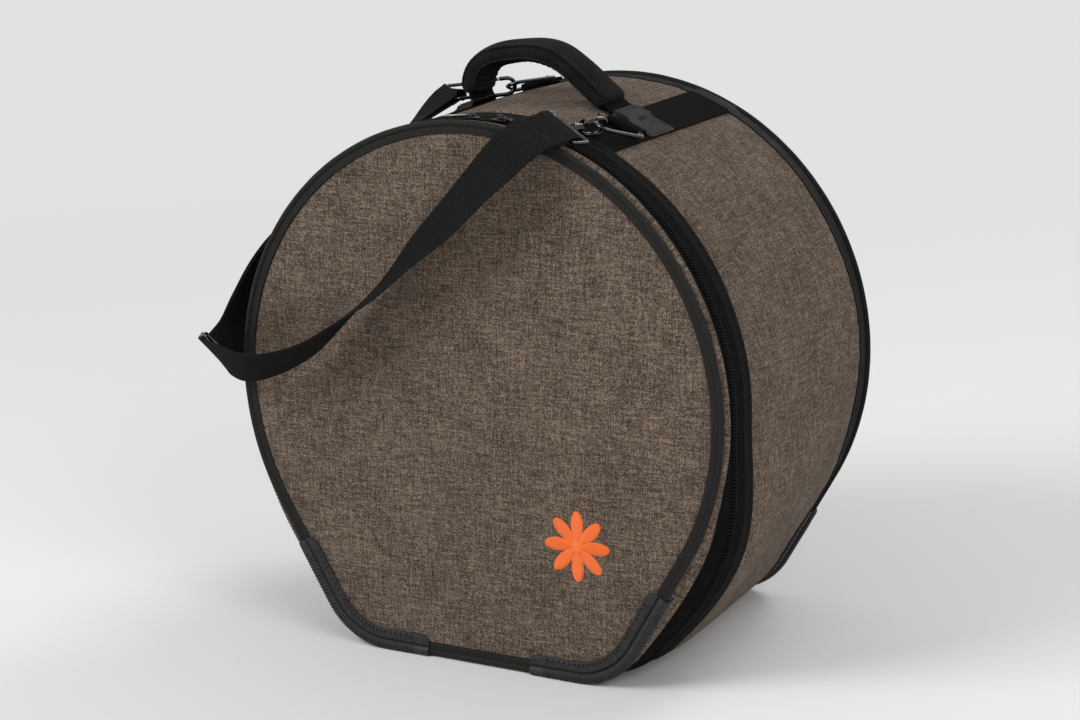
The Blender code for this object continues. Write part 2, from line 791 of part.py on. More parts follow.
def build_slider(word, angle, way, carrier, pull_carrier):
    """A slider that runs on both rows of teeth, and its pull. way is -1 towards the left."""
    origin, along, rearward, out = wall_frame(angle, zip_middle, wall_offset)
    teeth_out = (tooth_height - zip_tape_thickness) / 2
    low = teeth_out + slider_play
    high = low + slider_plate
    below = -(zip_tape_thickness + teeth_out + slider_play)
    deepest = below - slider_plate
    half, web = slider_width / 2, slider_web / 2
    section = [
        (-half, deepest), (half, deepest), (half, below), (web, below), (web, low), (half, low),
        (half, high), (-half, high), (-half, low), (-web, low), (-web, below), (-half, below),
    ]
    name = f"zip_slider_{word}"
    frame = (origin, rearward, out, along)
    slider = prism(name, frame, section, -slider_length / 2, slider_length / 2, "black_metal", carrier)
    lug_frame = (origin, along, rearward, out)
    hole_radius, hole_height = pull_hole()
    lug = block(
        "lug", lug_frame, (-lug_length / 2, -lug_width / 2, high - slider_plate / 2),
        (lug_length / 2, lug_width / 2, hole_height + hole_radius + lug_wall), "black_metal", carrier,
    )
    combine(slider, [lug], "UNION")
    hole = origin + out * hole_height
    drill = rod("drill", hole - rearward * lug_width, hole + rearward * lug_width, hole_radius,
                "black_metal", carrier, 16)
    combine(slider, [drill], "DIFFERENCE")
    tilt = math.radians(pull_rest_angle)
    reach = along * (way * math.cos(tilt)) - out * math.sin(tilt)
    lift = out * math.cos(tilt) + along * (way * math.sin(tilt))
    pull_frame = (hole, reach, rearward, lift)
    thick = pull_thickness / 2
    pull = block(f"zip_pull_{word}", pull_frame, (-thick, -pull_width / 2, -thick),
                 (pull_length, pull_width / 2, thick), "black_metal", pull_carrier)
    clear = lug_width / 2 + gap
    window = block(
        "window", pull_frame, (thick, -clear, -pull_length), (pull_window_length, clear, pull_length),
        "black_metal", pull_carrier,
    )
    combine(pull, [window], "DIFFERENCE")


def build_bands(bag):
    """The two webbing bands over the top and the vinyl patches on the handle's ends."""
    for way, word in ((1, "right"), (-1, "left")):
        front = welt_end + gap
        rear = rear_tape_start - gap
        curved_patch(f"band_{word}", way * band_angle, webbing_width, front, rear, wall_offset + gap,
                     webbing_thickness, "webbing", bag)
        curved_patch(f"handle_patch_{word}", way * band_angle, webbing_width, patch_start, patch_end,
                     band_offset + gap, patch_thickness, "vinyl", bag)


def patch_top(x):
    """Height of the soft feet's lower ends above the ground, where they are sewn to their patches."""
    radius = bag_radius + band_offset + gap + patch_thickness + foot_lift
    return centre_height + math.sqrt(radius**2 - x**2)


def handle_line():
    """The handle's middle line, from the left patch to the right one."""
    base = patch_top(handle_half_span)
    points = [
        Vector((x * handle_half_span, bag_depth / 2, base + z * handle_rise)) for x, z in handle_line_shares
    ]
    for end in (points[0], points[-1]):
        end.z = patch_top(end.x)
    return smooth_points(points, 2)


def flat_tube(name, line, width, thickness, bore_width, bore_thickness, material, parent, sides=12):
    """An oval padded tube along frames, with a flat bore for the webbing inside it."""
    mesh_data = bmesh.new()
    outer_rings, inner_rings = [], []
    for point, _, side, out in line:
        outer, inner = [], []
        for k in range(sides):
            a = math.tau * (k + 0.5) / sides
            c, s = math.cos(a), math.sin(a)
            outer.append(mesh_data.verts.new(point + side * (width / 2 * c) + out * (thickness / 2 * s)))
            u = max(-1.0, min(1.0, c * math.sqrt(2)))
            v = max(-1.0, min(1.0, s * math.sqrt(2)))
            spot = point + side * (bore_width / 2 * u) + out * (bore_thickness / 2 * v)
            inner.append(mesh_data.verts.new(spot))
        outer_rings.append(outer)
        inner_rings.append(inner)
    for rings in (outer_rings, inner_rings):
        for first, second in zip(rings, rings[1:]):
            for i in range(sides):
                j = (i + 1) % sides
                mesh_data.faces.new((first[i], first[j], second[j], second[i]))
    for end in (0, -1):
        for i in range(sides):
            j = (i + 1) % sides
            rim = (outer_rings[end][i], outer_rings[end][j], inner_rings[end][j], inner_rings[end][i])
            mesh_data.faces.new(rim)
    return seat(finish(mesh_data, name, material, parent))


def build_handle(bag, handle):
    """The padded grip on its webbing, and the two soft feet that join it to the patches."""
    points = handle_line()
    line = frames(points, [Vector((0, 1, 0))] * len(points))
    lift = patch_top(handle_half_span) + grip_lift
    first = next(i for i, p in enumerate(points) if p.z > lift)
    last = len(points) - 1 - next(i for i, p in enumerate(reversed(points)) if p.z > lift)
    lifted = line[first:last + 1]
    flat_tube("handle_grip", lifted, grip_width, grip_thickness, core_width + 2 * gap,
              core_thickness + 2 * gap, "grip", handle)
    ribbon("handle_core", lifted, core_width, core_thickness, "webbing", handle)
    feet = {"left": (line[:first], lifted[0]), "right": (line[last + 1:][::-1], lifted[-1])}
    for word, (stem, top) in feet.items():
        reach = (stem[-1][0] - top[0]).normalized()
        end = top[0] + reach * gap
        stem = [f for f in stem if (f[0] - top[0]).length > core_thickness]
        line_to_top = [(f[0], f[1], f[2], f[3]) for f in stem] + [(end, top[1], top[2], top[3])]
        if word == "right":
            line_to_top = line_to_top[::-1]
        ribbon(f"handle_foot_{word}", line_to_top, core_width, core_thickness, "webbing", bag)


def ring_place(angle, bar_depth):
    """The frame at a ring's bar, which lies in the loop of its webbing tab."""
    return wall_frame(angle, bar_depth, band_offset + gap + strap_thickness + ring_seat + ring_wire)


def build_ring(word, place, tilt, pulled, ring_body):
    """A D-ring that points forward. It returns the place on its nose where a pull that way sits."""
    bar, across, rearward, out = place
    slope = math.radians(tilt)
    ahead = out * math.sin(slope) - rearward * math.cos(slope)
    normal = across.cross(ahead)
    half = ring_width / 2
    tip = bar + ahead * ring_length
    nose = tip - ahead * ring_nose_radius
    left = bar - across * (half - ring_corner) + ahead * ring_corner
    right = bar + across * (half - ring_corner) + ahead * ring_corner
    lean = math.degrees(math.asin((ring_nose_radius - ring_corner) / (nose - right).length))
    face = math.degrees(math.atan2((nose - right).dot(ahead), (nose - right).dot(across)))
    side_angle = face - 90 - lean
    points = arc_points(right, across, ahead, ring_corner, -90, side_angle, 4)
    points += arc_points(nose, across, ahead, ring_nose_radius, side_angle, 180 - side_angle, 8)
    points += arc_points(left, across, ahead, ring_corner, 180 - side_angle, 270, 4)
    wire(f"d_ring_{word}", points, normal, ring_wire, "black_metal", ring_body, True)
    pulled = Vector(pulled)
    return nose + (pulled - normal * pulled.dot(normal)).normalized() * ring_nose_radius


def build_tab(word, place, tail, bag):
    """The webbing loop round a ring's bar, with its two layers sewn flat behind it."""
    bar, across, rearward, out = place
    inner = ring_wire + ring_seat
    outer = inner + strap_thickness
    top = 2 * strap_thickness - outer
    turn = 270 - math.degrees(math.asin(top / outer))
    steps = 12
    angles = [math.radians(-90 - turn * i / steps) for i in range(steps + 1)]
    outline = [(outer * math.cos(a), outer * math.sin(a)) for a in angles]
    outline += [(tail, top), (tail, -outer)]
    frame = (bar, rearward, out, across)
    tab = prism(f"ring_tab_{word}", frame, outline, -tab_width / 2, tab_width / 2, "webbing", bag)
    drill = rod("drill", bar - across * tab_width, bar + across * tab_width, inner, "webbing", bag, 16)
    return combine(tab, [drill], "DIFFERENCE")


def hook_frame(tip, shares):
    """A hook's frame at the ring's tip: towards the strap, away from the bag, and across."""
    ahead = Vector(shares[0]).normalized()
    across = Vector(shares[1])
    across = (across - ahead * across.dot(ahead)).normalized()
    up = ahead.cross(across)
    if up.z < 0:
        up = -up
    return tip, ahead, up, across


def build_hook(word, frame, hook_body):
    """The snap hook's bent wire with its neck, which turns on the eye's post."""
    tip, ahead, up, across = frame

    def spot(s, h):
        return tip + ahead * s + up * h

    bend = arc_points(spot(hook_play, 0.0), ahead, up, hook_bend, -90, -270, 9)
    neck_low = neck_radius - hook_wire
    middle = spot((neck_start + hook_spine) / 2, -(hook_bend + neck_low) / 2)
    back = [spot(neck_start + hook_wire, -neck_low), middle, spot(hook_spine, -hook_bend)]
    points = back + bend + [spot(hook_nose, hook_bend)]
    hook = wire(f"hook_{word}", points, across, hook_wire, "black_metal", hook_body, False, 10)
    neck_end = neck_start + neck_length
    neck = rod("neck", spot(neck_start, 0.0), spot(neck_end, 0.0), neck_radius, "black_metal", hook_body, 16)
    inside = gate_radius + gap
    cheeks = []
    for way in (-1, 1):
        low, high = sorted((way * inside, way * (inside + cheek_thickness)))
        cheeks.append(block(
            "cheek", frame, (gate_pin_place - hook_wire, cheek_low, low),
            (neck_start + cheek_thickness, cheek_high, high), "black_metal", hook_body,
        ))
    combine(hook, [neck] + cheeks, "UNION")
    bore = rod("bore", spot(neck_start + post_radius, 0.0), spot(neck_end + post_radius, 0.0),
               post_radius + gap, "black_metal", hook_body, 16)
    pin = spot(gate_pin_place, gate_pin_height)
    reach = across * (inside + 2 * cheek_thickness)
    pin_hole = rod("pin_hole", pin - reach, pin + reach, gate_pin_radius + gap, "black_metal", hook_body)
    combine(hook, [bore, pin_hole], "DIFFERENCE")


def build_gate(word, frame, gate_body):
    """The spring gate that closes the hook, on its pin between the hook's cheeks."""
    tip, ahead, up, across = frame
    pin = tip + ahead * gate_pin_place + up * gate_pin_height
    nose = tip + ahead * (hook_nose + gap + gap) + up * hook_bend
    gate = rod(f"gate_{word}", nose, pin + (pin - nose).normalized() * gate_radius, gate_radius,
               "black_metal", gate_body)
    reach = across * (gate_radius + gap + cheek_thickness)
    axle = rod("axle", pin - reach, pin + reach, gate_pin_radius, "black_metal", gate_body, 10)
    combine(gate, [axle], "UNION")


def eye_bar_place():
    """How far the strap's bar lies from the ring's tip, along a hook."""
    return neck_start + neck_length + gap + eye_wire + eye_length


def build_eye(word, frame, bag):
    """The flat eye that the strap is sewn round, with the post that turns in the hook's neck."""
    tip, ahead, up, across = frame
    base = eye_bar_place() - eye_length
    middle = tip + ahead * (base + eye_length / 2)
    points = rounded_rectangle(middle, ahead, across, eye_length, eye_width - 2 * eye_wire, eye_corner, 3)
    eye = wire(f"hook_eye_{word}", points, up, eye_wire, "black_metal", bag, True)
    post_start = neck_start + post_radius + gap
    post = rod("post", tip + ahead * post_start, tip + ahead * base, post_radius, "black_metal", bag, 14)
    combine(eye, [post], "UNION")


def share_point(share):
    """A place from its shares: across and up in radii, deep in depths."""
    x, y, z = share
    return Vector((x * bag_radius, y * bag_depth, centre_height + z * bag_radius))


def slide_frame():
    """The slide's middle on the strap, the way along the strap, the way across, and out."""
    along = Vector(slide_along_share).normalized()
    across = Vector(slide_across_share)
    across = (across - along * across.dot(along)).normalized()
    out = along.cross(across)
    if out.x > 0:
        out = -out
    return share_point(slide_place_share), along, across, out


def build_front_strap(frame, bag):
    """The strap from its sewn end at the right hook, down before the lid, to the slide."""
    tip, ahead, _, eye_across = frame
    bar = tip + ahead * eye_bar_place()
    # The run hangs from the eye's bar where that lies before the lid, and else from the lid's edge.
    hang = Vector((0, min(bar.y, 0.0), 0))
    spots = [share_point(p) + hang for p, _ in front_run_shares]
    away = spots[0] - bar
    away = (away - eye_across * away.dot(eye_across)).normalized()
    up = away.cross(eye_across)
    if up.z < 0:
        up = -up
    inner = eye_wire + gap
    outer = inner + strap_thickness
    start = math.asin(strap_thickness / outer)
    steps = 14
    angles = [start + (math.tau - 2 * start) * i / steps for i in range(steps + 1)]
    outline = [(outer * math.cos(a), outer * math.sin(a)) for a in angles]
    outline += [(fold_length, -strap_thickness), (fold_length, strap_thickness)]
    half = strap_width / 2
    strap = prism("strap_front", (bar, away, up, eye_across), outline, -half, half, "webbing", bag)
    place, along, across, _ = slide_frame()
    sewn = bar + away * (fold_length - strap_thickness)
    points = [sewn] + spots[1:]
    points += [place - along * slide_straight, place - along * gap]
    sides = [eye_across] + [Vector(a).normalized() for _, a in front_run_shares[1:]] + [across, across]
    sides = aligned(sides)
    line = frames(points, sides)
    for i in (-2, -1):
        line[i] = (points[i], along, sides[-1], along.cross(sides[-1]))
    run = ribbon("run", line, strap_width, strap_thickness, "webbing", bag)
    combine(strap, [run], "UNION")
    drill = rod("drill", bar - eye_across * strap_width, bar + eye_across * strap_width, inner,
                "webbing", bag, 16)
    combine(strap, [drill], "DIFFERENCE")


def aligned(sides):
    """Turn each direction to the same hand as the one before it."""
    result = [sides[0]]
    for side in sides[1:]:
        result.append(side if side.dot(result[-1]) > 0 else -side)
    return result


def build_side_strap(frame, bag):
    """The doubled strap: from the slide up beside the bag, round the left eye's bar and back."""
    tip, ahead, _, eye_across = frame
    bar = tip + ahead * eye_bar_place()
    place, along, across, out = slide_frame()
    runs = [share_point(p) for p, _ in side_run_shares]
    away = runs[-1] - bar
    away = (away - eye_across * away.dot(eye_across)).normalized()
    landing = bar + away * eye_landing
    middles = [place + along * slide_straight] + runs + [landing]
    sides = aligned([across] + [Vector(a).normalized() for _, a in side_run_shares] + [eye_across])
    side = sides[-1]
    line = frames(middles, sides)
    line[-1] = (landing, -away, side, (-away).cross(side))
    line[0] = (middles[0], along, sides[0], along.cross(sides[0]))
    hand = 1 if line[0][3].dot(out) > 0 else -1
    around = eye_wire + gap + strap_thickness / 2
    inner, outer = [], []
    for i, (point, forward, cross, normal) in enumerate(line):
        spread = doubled_spacing / 2
        left = (bar - point).length
        if left < doubled_merge:
            spread = around + (spread - around) * left / doubled_merge
        low, high = (0.0, doubled_spacing) if i == 0 else (spread, spread)
        inner.append((point - normal * (hand * low), forward, cross, normal))
        outer.append((point + normal * (hand * high), -forward, cross, -normal))
    start = [(place + along * gap, along, sides[0], line[0][3])]
    end = [(place + along * doubled_start + out * doubled_spacing, -along, sides[0], -line[0][3])]
    normal = line[-1][3] * hand
    turn = []
    for i in range(9):
        a = math.radians(-90 - 180 * i / 8)
        forward = away * math.sin(a) - normal * math.cos(a)
        spot = bar + (away * math.cos(a) + normal * math.sin(a)) * around
        turn.append((spot, forward, side, forward.cross(side)))
    path = start + inner + turn + outer[::-1] + end
    ribbon("strap_side", path, strap_width, strap_thickness, "webbing", bag)


def build_slide(carrier):
    """The three-bar slide: its outer bars lie under the strap and its middle bar over it."""
    place, along, across, out = slide_frame()
    low = -(strap_thickness / 2 + gap + slide_bar_radius)
    side = strap_width / 2 + gap + slide_bar_radius
    below = place + out * low
    points = rounded_rectangle(below, along, across, 2 * slide_bar_spacing, 2 * side, slide_corner, 2)
    slide = wire("strap_slide", points, out, slide_bar_radius, "black_metal", carrier, True)
    middle = [
        place + across * (way * side) + out * height
        for way, height in ((-1, low), (-1, -low), (1, -low), (1, low))
    ]
    posts = [
        rod("post", middle[0], middle[1], slide_bar_radius, "black_metal", carrier, 10),
        rod("bar", middle[1] - across * slide_bar_radius, middle[2] + across * slide_bar_radius,
            slide_bar_radius, "black_metal", carrier, 10),
        rod("post", middle[3], middle[2], slide_bar_radius, "black_metal", carrier, 10),
    ]
    combine(slide, posts, "UNION")


def build_rosette(lid):
    """A stitched ornament of plain petals on the front."""
    steps = 6 * rosette_petals
    outline = []
    for i in range(steps):
        a = math.tau * i / steps
        petal = abs(math.cos(rosette_petals / 2 * a))
        radius = rosette_radius * (rosette_waist_share + (1 - rosette_waist_share) * petal)
        outline.append((radius * math.cos(a), radius * math.sin(a)))
    place = Vector((rosette_x, 0.0, centre_height - rosette_drop))
    frame = (place, Vector((1, 0, 0)), Vector((0, 0, 1)), Vector((0, -1, 0)))
    prism("front_rosette", frame, outline, gap, gap + rosette_thickness, "thread", lid)


def set_on_origin(bag):
    """Move the bag so that the middle of its box's underside is the origin."""
    depsgraph = bpy.context.evaluated_depsgraph_get()
    depsgraph.update()
    low = Vector((math.inf, math.inf, math.inf))
    high = -low
    for piece in bpy.data.objects:
        if piece.type != "MESH":
            continue
        for vertex in piece.evaluated_get(depsgraph).data.vertices:
            spot = piece.matrix_world @ vertex.co
            low = Vector(map(min, low, spot))
            high = Vector(map(max, high, spot))
    bag.location = (-(low.x + high.x) / 2, -(low.y + high.y) / 2, -low.z)
    bpy.context.view_layer.update()


def main():
    clear_scene()
    for name in colours:
        materials[name] = make_material(name)
    bag = pivot("bag", (0, 0, 0))
    build_body(bag)
    lid = pivot("lid_axis", (0.0, 0.0, foot_height + piping_radius), bag)
    build_body_edge(bag)
    build_lid(lid)
    build_rosette(lid)
    build_guards(lid, bag)
    for word, angle, way in (("left", left_slider_angle, -1), ("right", right_slider_angle, 1)):
        carrier = pivot(f"slider_{word}_axis", (0.0, zip_middle, centre_height), bag)
        pull_carrier = pivot(f"pull_{word}_axis", pull_axis_place(angle), carrier)
        build_slider(word, angle, way, carrier, pull_carrier)
    build_bands(bag)
    handle = pivot("handle_axis", (0.0, bag_depth / 2, patch_top(handle_half_span)), bag)
    build_handle(bag, handle)
    right_depth = patch_start - right_ring_setback
    left_depth = rear_tape_start - left_ring_setback
    rings = (
        ("right", band_angle, right_depth, right_ring_tilt, right_ring_setback - gap, right_hook_shares),
        ("left", left_ring_angle, left_depth, left_ring_tilt, left_ring_setback - gap, left_hook_shares),
    )
    hook_frames = {}
    for word, angle, depth, tilt, tail, shares in rings:
        place = ring_place(angle, depth)
        ring_body = pivot(f"ring_{word}_axis", place[0], bag)
        tip = build_ring(word, place, tilt, shares[0], ring_body)
        build_tab(word, place, tail, bag)
        frame = hook_frame(tip, shares)
        hook_frames[word] = frame
        hook_body = pivot(f"hook_{word}_axis", tip, bag)
        build_hook(word, frame, hook_body)
        pin = tip + frame[1] * gate_pin_place + frame[2] * gate_pin_height
        build_gate(word, frame, pivot(f"gate_{word}_axis", pin, hook_body))
        build_eye(word, frame, bag)
    build_front_strap(hook_frames["right"], bag)
    build_side_strap(hook_frames["left"], bag)
    build_slide(pivot("strap_slide_axis", slide_frame()[0], bag))
    set_on_origin(bag)


materials = {}
main()
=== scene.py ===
# %% [markdown]
# # A padded bag for a drum
# The bag is a short, round case of woven cloth that stands on four rubber corner guards. Its front is a
# stiff lid on a zip, a padded handle arches over the top, and a shoulder strap hangs before the lid.
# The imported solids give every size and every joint. This file dresses them: each cell makes one piece,
# seats it where its solid is, gives it a finish and says which body it moves with.

import json
import math

import bmesh
import bpy
import numpy as np
from mathutils import Matrix, Vector


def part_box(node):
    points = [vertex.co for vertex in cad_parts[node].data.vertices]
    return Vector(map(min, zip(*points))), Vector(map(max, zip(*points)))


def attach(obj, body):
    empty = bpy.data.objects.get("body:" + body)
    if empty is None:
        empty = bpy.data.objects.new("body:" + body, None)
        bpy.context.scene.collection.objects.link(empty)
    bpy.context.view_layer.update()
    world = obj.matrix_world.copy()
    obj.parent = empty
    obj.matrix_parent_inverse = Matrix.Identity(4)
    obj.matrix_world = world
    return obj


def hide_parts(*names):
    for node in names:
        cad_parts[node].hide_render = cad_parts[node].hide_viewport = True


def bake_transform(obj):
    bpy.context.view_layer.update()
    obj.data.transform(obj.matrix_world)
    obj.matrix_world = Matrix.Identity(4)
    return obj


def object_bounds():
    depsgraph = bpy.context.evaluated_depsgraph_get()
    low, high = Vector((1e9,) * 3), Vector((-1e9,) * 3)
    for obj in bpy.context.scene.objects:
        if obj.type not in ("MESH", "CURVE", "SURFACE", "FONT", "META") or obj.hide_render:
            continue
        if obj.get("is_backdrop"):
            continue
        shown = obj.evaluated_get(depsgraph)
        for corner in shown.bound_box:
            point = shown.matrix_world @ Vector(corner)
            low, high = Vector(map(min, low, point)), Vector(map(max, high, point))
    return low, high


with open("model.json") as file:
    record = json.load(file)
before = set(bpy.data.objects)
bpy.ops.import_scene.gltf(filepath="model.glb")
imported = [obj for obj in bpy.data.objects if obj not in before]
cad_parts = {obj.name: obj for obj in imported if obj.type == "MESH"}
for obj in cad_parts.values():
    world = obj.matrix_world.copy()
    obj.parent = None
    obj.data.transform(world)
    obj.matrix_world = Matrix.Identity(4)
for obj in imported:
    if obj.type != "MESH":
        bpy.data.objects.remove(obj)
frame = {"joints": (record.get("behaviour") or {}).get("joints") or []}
solid_box = [[float(v) for v in corner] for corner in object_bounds()]
print("the solids' box", solid_box)

# %% [markdown]
# ## The camera
# Everything is judged against one photograph, so the camera comes first. Its place was found by fitting
# the bag's own circle, base and depth to the picture. A long lens from two metres away keeps the
# rear rim nearly as large as the front one, and a slight roll stands for a hand-held shot.

# %% Set up the camera
def add_object(name, data):
    """A new object in the scene that shows some data."""
    result = bpy.data.objects.new(name, data)
    bpy.context.scene.collection.objects.link(result)
    return result


camera_place = Vector((1.186102, -1.998889, 0.79975))
camera_target = Vector((0.081312, -0.106159, 0.2475))
camera_roll = -0.0202
camera_data = bpy.data.cameras.new("photo_camera")
camera_data.lens = 101.948
camera_data.sensor_width = 36
camera_data.sensor_fit = "HORIZONTAL"
camera = add_object("photo_camera", camera_data)
back = (camera_place - camera_target).normalized()
level = Vector((0, 0, 1)).cross(back).normalized()
right = level * math.cos(camera_roll) + back.cross(level) * math.sin(camera_roll)
facing = Matrix((right, back.cross(right), back)).transposed().to_4x4()
camera.matrix_world = Matrix.Translation(camera_place) @ facing
bpy.context.scene.camera = camera
bpy.context.scene.view_settings.view_transform = "Standard"
print("camera", round((camera_place - camera_target).length, 3), "m from the bag")

# %% [markdown]
# ## Floor and light
# A flat pale floor runs out in every direction, so the bag can be seen from all sides. Near the bag it
# is lit paper that takes the shadow. Further out it fades into the same even tone as the sky has for the
# camera and for reflections, so no horizon shows. Three soft lamps and an even sky light the bag.

# %% A short way to add a node
def plug(tree, socket, value):
    """Link an output to a socket, or give the socket a value."""
    if isinstance(value, bpy.types.NodeSocket):
        tree.links.new(value, socket)
    else:
        socket.default_value = (*value[:3], 1.0) if socket.type == "RGBA" else value


def add_node(tree, kind, inputs=None, **settings):
    """A node with its settings, and its inputs linked or given."""
    node = tree.nodes.new(kind)
    for key, value in settings.items():
        setattr(node, key, value)
    for key, value in (inputs or {}).items():
        plug(tree, node.inputs[key], value)
    return node


def seen_directly(tree):
    """1 for what the camera sees, or sees reflected, and 0 for light on its way to a surface."""
    path = add_node(tree, "ShaderNodeLightPath")
    return add_node(tree, "ShaderNodeMath", {0: path.outputs["Is Camera Ray"], 1: path.outputs["Is Glossy Ray"]},
                    operation="MAXIMUM").outputs[0]


# %% Make the floor
backdrop_tone, sky_light = 0.76, 0.42


def floor_paper():
    """Pale paper near the bag that fades into the backdrop's tone."""
    pale = bpy.data.materials.new("pale_paper")
    pale.use_nodes = True
    tree = pale.node_tree
    shader = tree.nodes["Principled BSDF"]
    for key, value in (("Base Color", (0.86, 0.86, 0.855)), ("Roughness", 0.9), ("Specular IOR Level", 0.1)):
        plug(tree, shader.inputs[key], value)
    where = add_node(tree, "ShaderNodeTexCoord").outputs["Object"]
    away = add_node(tree, "ShaderNodeVectorMath", {0: where}, operation="LENGTH").outputs["Value"]
    fade = add_node(tree, "ShaderNodeMapRange", {"Value": away, "From Min": 0.5, "From Max": 2.2},
                    interpolation_type="SMOOTHSTEP").outputs[0]
    share = add_node(tree, "ShaderNodeMath", {0: fade, 1: seen_directly(tree)}, operation="MULTIPLY").outputs[0]
    even = add_node(tree, "ShaderNodeEmission", {"Color": (backdrop_tone, backdrop_tone, backdrop_tone * 0.995)})
    both = add_node(tree, "ShaderNodeMixShader", {0: share, 1: shader.outputs[0], 2: even.outputs[0]})
    tree.links.new(both.outputs[0], tree.nodes["Material Output"].inputs["Surface"])
    return pale


def studio_floor(rings=(0.5, 1.0, 2.0, 4.0, 10.0, 40.0), sides=48, height=-0.0002):
    """A wide flat disc of rings under the bag."""
    turns = [math.tau * k / sides for k in range(sides)]
    after = [(k + 1) % sides for k in range(sides)]
    verts = [(0.0, 0.0, height)] + [(r * math.cos(a), r * math.sin(a), height) for r in rings for a in turns]
    faces = [(0, 1 + k, 1 + after[k]) for k in range(sides)]
    for low in range(1, 1 + (len(rings) - 1) * sides, sides):
        faces += [(low + k, low + sides + k, low + sides + after[k], low + after[k]) for k in range(sides)]
    mesh = bpy.data.meshes.new("studio_floor")
    mesh.from_pydata(verts, [], faces)
    mesh.materials.append(floor_paper())
    floor = add_object("studio_floor", mesh)
    floor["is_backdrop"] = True


studio_floor()


# %% Lamps and sky
def lamp(name, place, size, power, aim=(0.0, 0.0, 0.2)):
    """A square soft lamp that looks at the middle of the bag."""
    data = bpy.data.lights.new(name, "AREA")
    data.shape, data.size, data.energy = "SQUARE", size, power
    light = add_object(name, data)
    light.location = place
    light.rotation_euler = (Vector(aim) - Vector(place)).to_track_quat("-Z", "Y").to_euler()


lamp("key_lamp", (-1.6, -2.4, 2.4), 1.6, 66)
lamp("fill_lamp", (2.8, -1.6, 1.9), 1.8, 36)
lamp("rear_lamp", (0.9, 2.2, 2.6), 1.4, 31)
world = bpy.data.worlds.new("studio_sky")
bpy.context.scene.world = world
world.use_nodes = True
sky = world.node_tree
strength = add_node(sky, "ShaderNodeMapRange", {"Value": seen_directly(sky), "To Min": sky_light,
                                                "To Max": backdrop_tone})
plug(sky, sky.nodes["Background"].inputs["Color"], (1.0, 1.0, 0.995))
plug(sky, sky.nodes["Background"].inputs["Strength"], strength.outputs[0])
print("studio made")

# %% [markdown]
# ## The bag's outline
# Seen from the front the bag is a circle with a flat base: a straight base, two round lower corners,
# short straight sides that touch both curves, and the round top. Piping, zip, welt and wall all follow
# this line, so it is written once as a function of the distance from the top, right side positive.

# %% Sizes of the outline
bag_radius = 0.210
bag_depth = 0.256
base_half_width = 0.0837
corner_radius = 0.0612
round_centre_height = 0.2117
foot_height = 0.0011
gap = 0.0003
middle_x = (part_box("front_panel")[0][0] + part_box("front_panel")[1][0]) / 2
front_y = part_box("front_panel")[0][1]
centre_height = foot_height + round_centre_height

rise = round_centre_height - corner_radius
turn = math.atan2(base_half_width, rise)
turn += math.acos((bag_radius - corner_radius) / math.hypot(base_half_width, rise))
side_low = (base_half_width + corner_radius * math.sin(turn), corner_radius - corner_radius * math.cos(turn))
side_high = (bag_radius * math.sin(turn), round_centre_height - bag_radius * math.cos(turn))
side_length = math.hypot(side_high[0] - side_low[0], side_high[1] - side_low[1])
corner_end = base_half_width + corner_radius * turn
round_start = corner_end + side_length
half_length = round_start + bag_radius * (math.pi - turn)
print("half of the outline is", round(half_length, 4), "m long")


# %% Walk along the outline
def outline_at(t):
    """x, z and the way out at distances t from the top, right side positive."""
    t = np.asarray(t, float)
    side = np.where(t < 0, -1.0, 1.0)
    s = half_length - np.abs(t)
    parts = [s < base_half_width, s < corner_end, s < round_start]
    turned = np.select(parts, [0 * s, (s - base_half_width) / corner_radius, turn + 0 * s],
                       turn + (s - round_start) / bag_radius)
    out_x, out_z = np.sin(turned), -np.cos(turned)
    x = np.select(parts, [s, base_half_width + corner_radius * out_x,
                          side_low[0] + (s - corner_end) * math.cos(turn)], bag_radius * out_x)
    z = np.select(parts, [0 * s, corner_radius + corner_radius * out_z,
                          side_low[1] + (s - corner_end) * math.sin(turn)],
                  round_centre_height + bag_radius * out_z)
    return side * x, z, side * out_x, out_z


def round_trip(step, start=-half_length, stop=half_length):
    """Distances along the outline, about a step apart."""
    return np.linspace(start, stop, max(2, int(round((stop - start) / step)) + 1))


def moved_out(t, offset):
    """x and z of the outline, moved out by an offset."""
    x, z, out_x, out_z = outline_at(t)
    return x + out_x * offset, z + out_z * offset


def outward_at(t):
    """The way out of the bag at distances along the outline."""
    _, _, out_x, out_z = outline_at(t)
    return np.stack([out_x, 0 * out_x, out_z], -1)


def in_room(x, depth, z):
    """Places in the room from x, the depth behind the front and the height over the base."""
    return np.stack(np.broadcast_arrays(middle_x + x, front_y + depth, z + foot_height), -1)


# %% [markdown]
# ## How soft the wall is
# Foam and cloth never lie on a perfect cylinder. Over the lower corners the wall swells out, because
# the padding has more room there. Beside each seam the cloth dips and then crowns, and long shallow
# waves run over the rest. The webbing bands pull the cloth flat, so the waves fade under them.

# %% Where each strip of the wall lies
# Depths behind the front, then how far the cloth's outer and inner faces lie inside the outline.
strip_start, lid_strip_end = 0.0028, 0.0084
lid_teeth_start, lid_teeth_end = 0.0207, 0.0228
body_teeth_start, body_teeth_end = 0.0240, 0.0261
welt_start, welt_end = 0.0384, 0.0523
wall_start, wall_end = 0.0526, 0.2532
rear_tape_start = 0.2442
wall_inset, inner_face_offset = 0.0035, -0.0053
band_turn, webbing_width = math.radians(22.0), 0.038
band_centre = bag_radius * band_turn
print("the bands lie", round(band_centre * 1000, 1), "mm from the top along the outline")


# %% The swelling of the wall
def smooth(share):
    """A soft step from 0 to 1."""
    share = np.clip(share, 0, 1)
    return share * share * (3 - 2 * share)


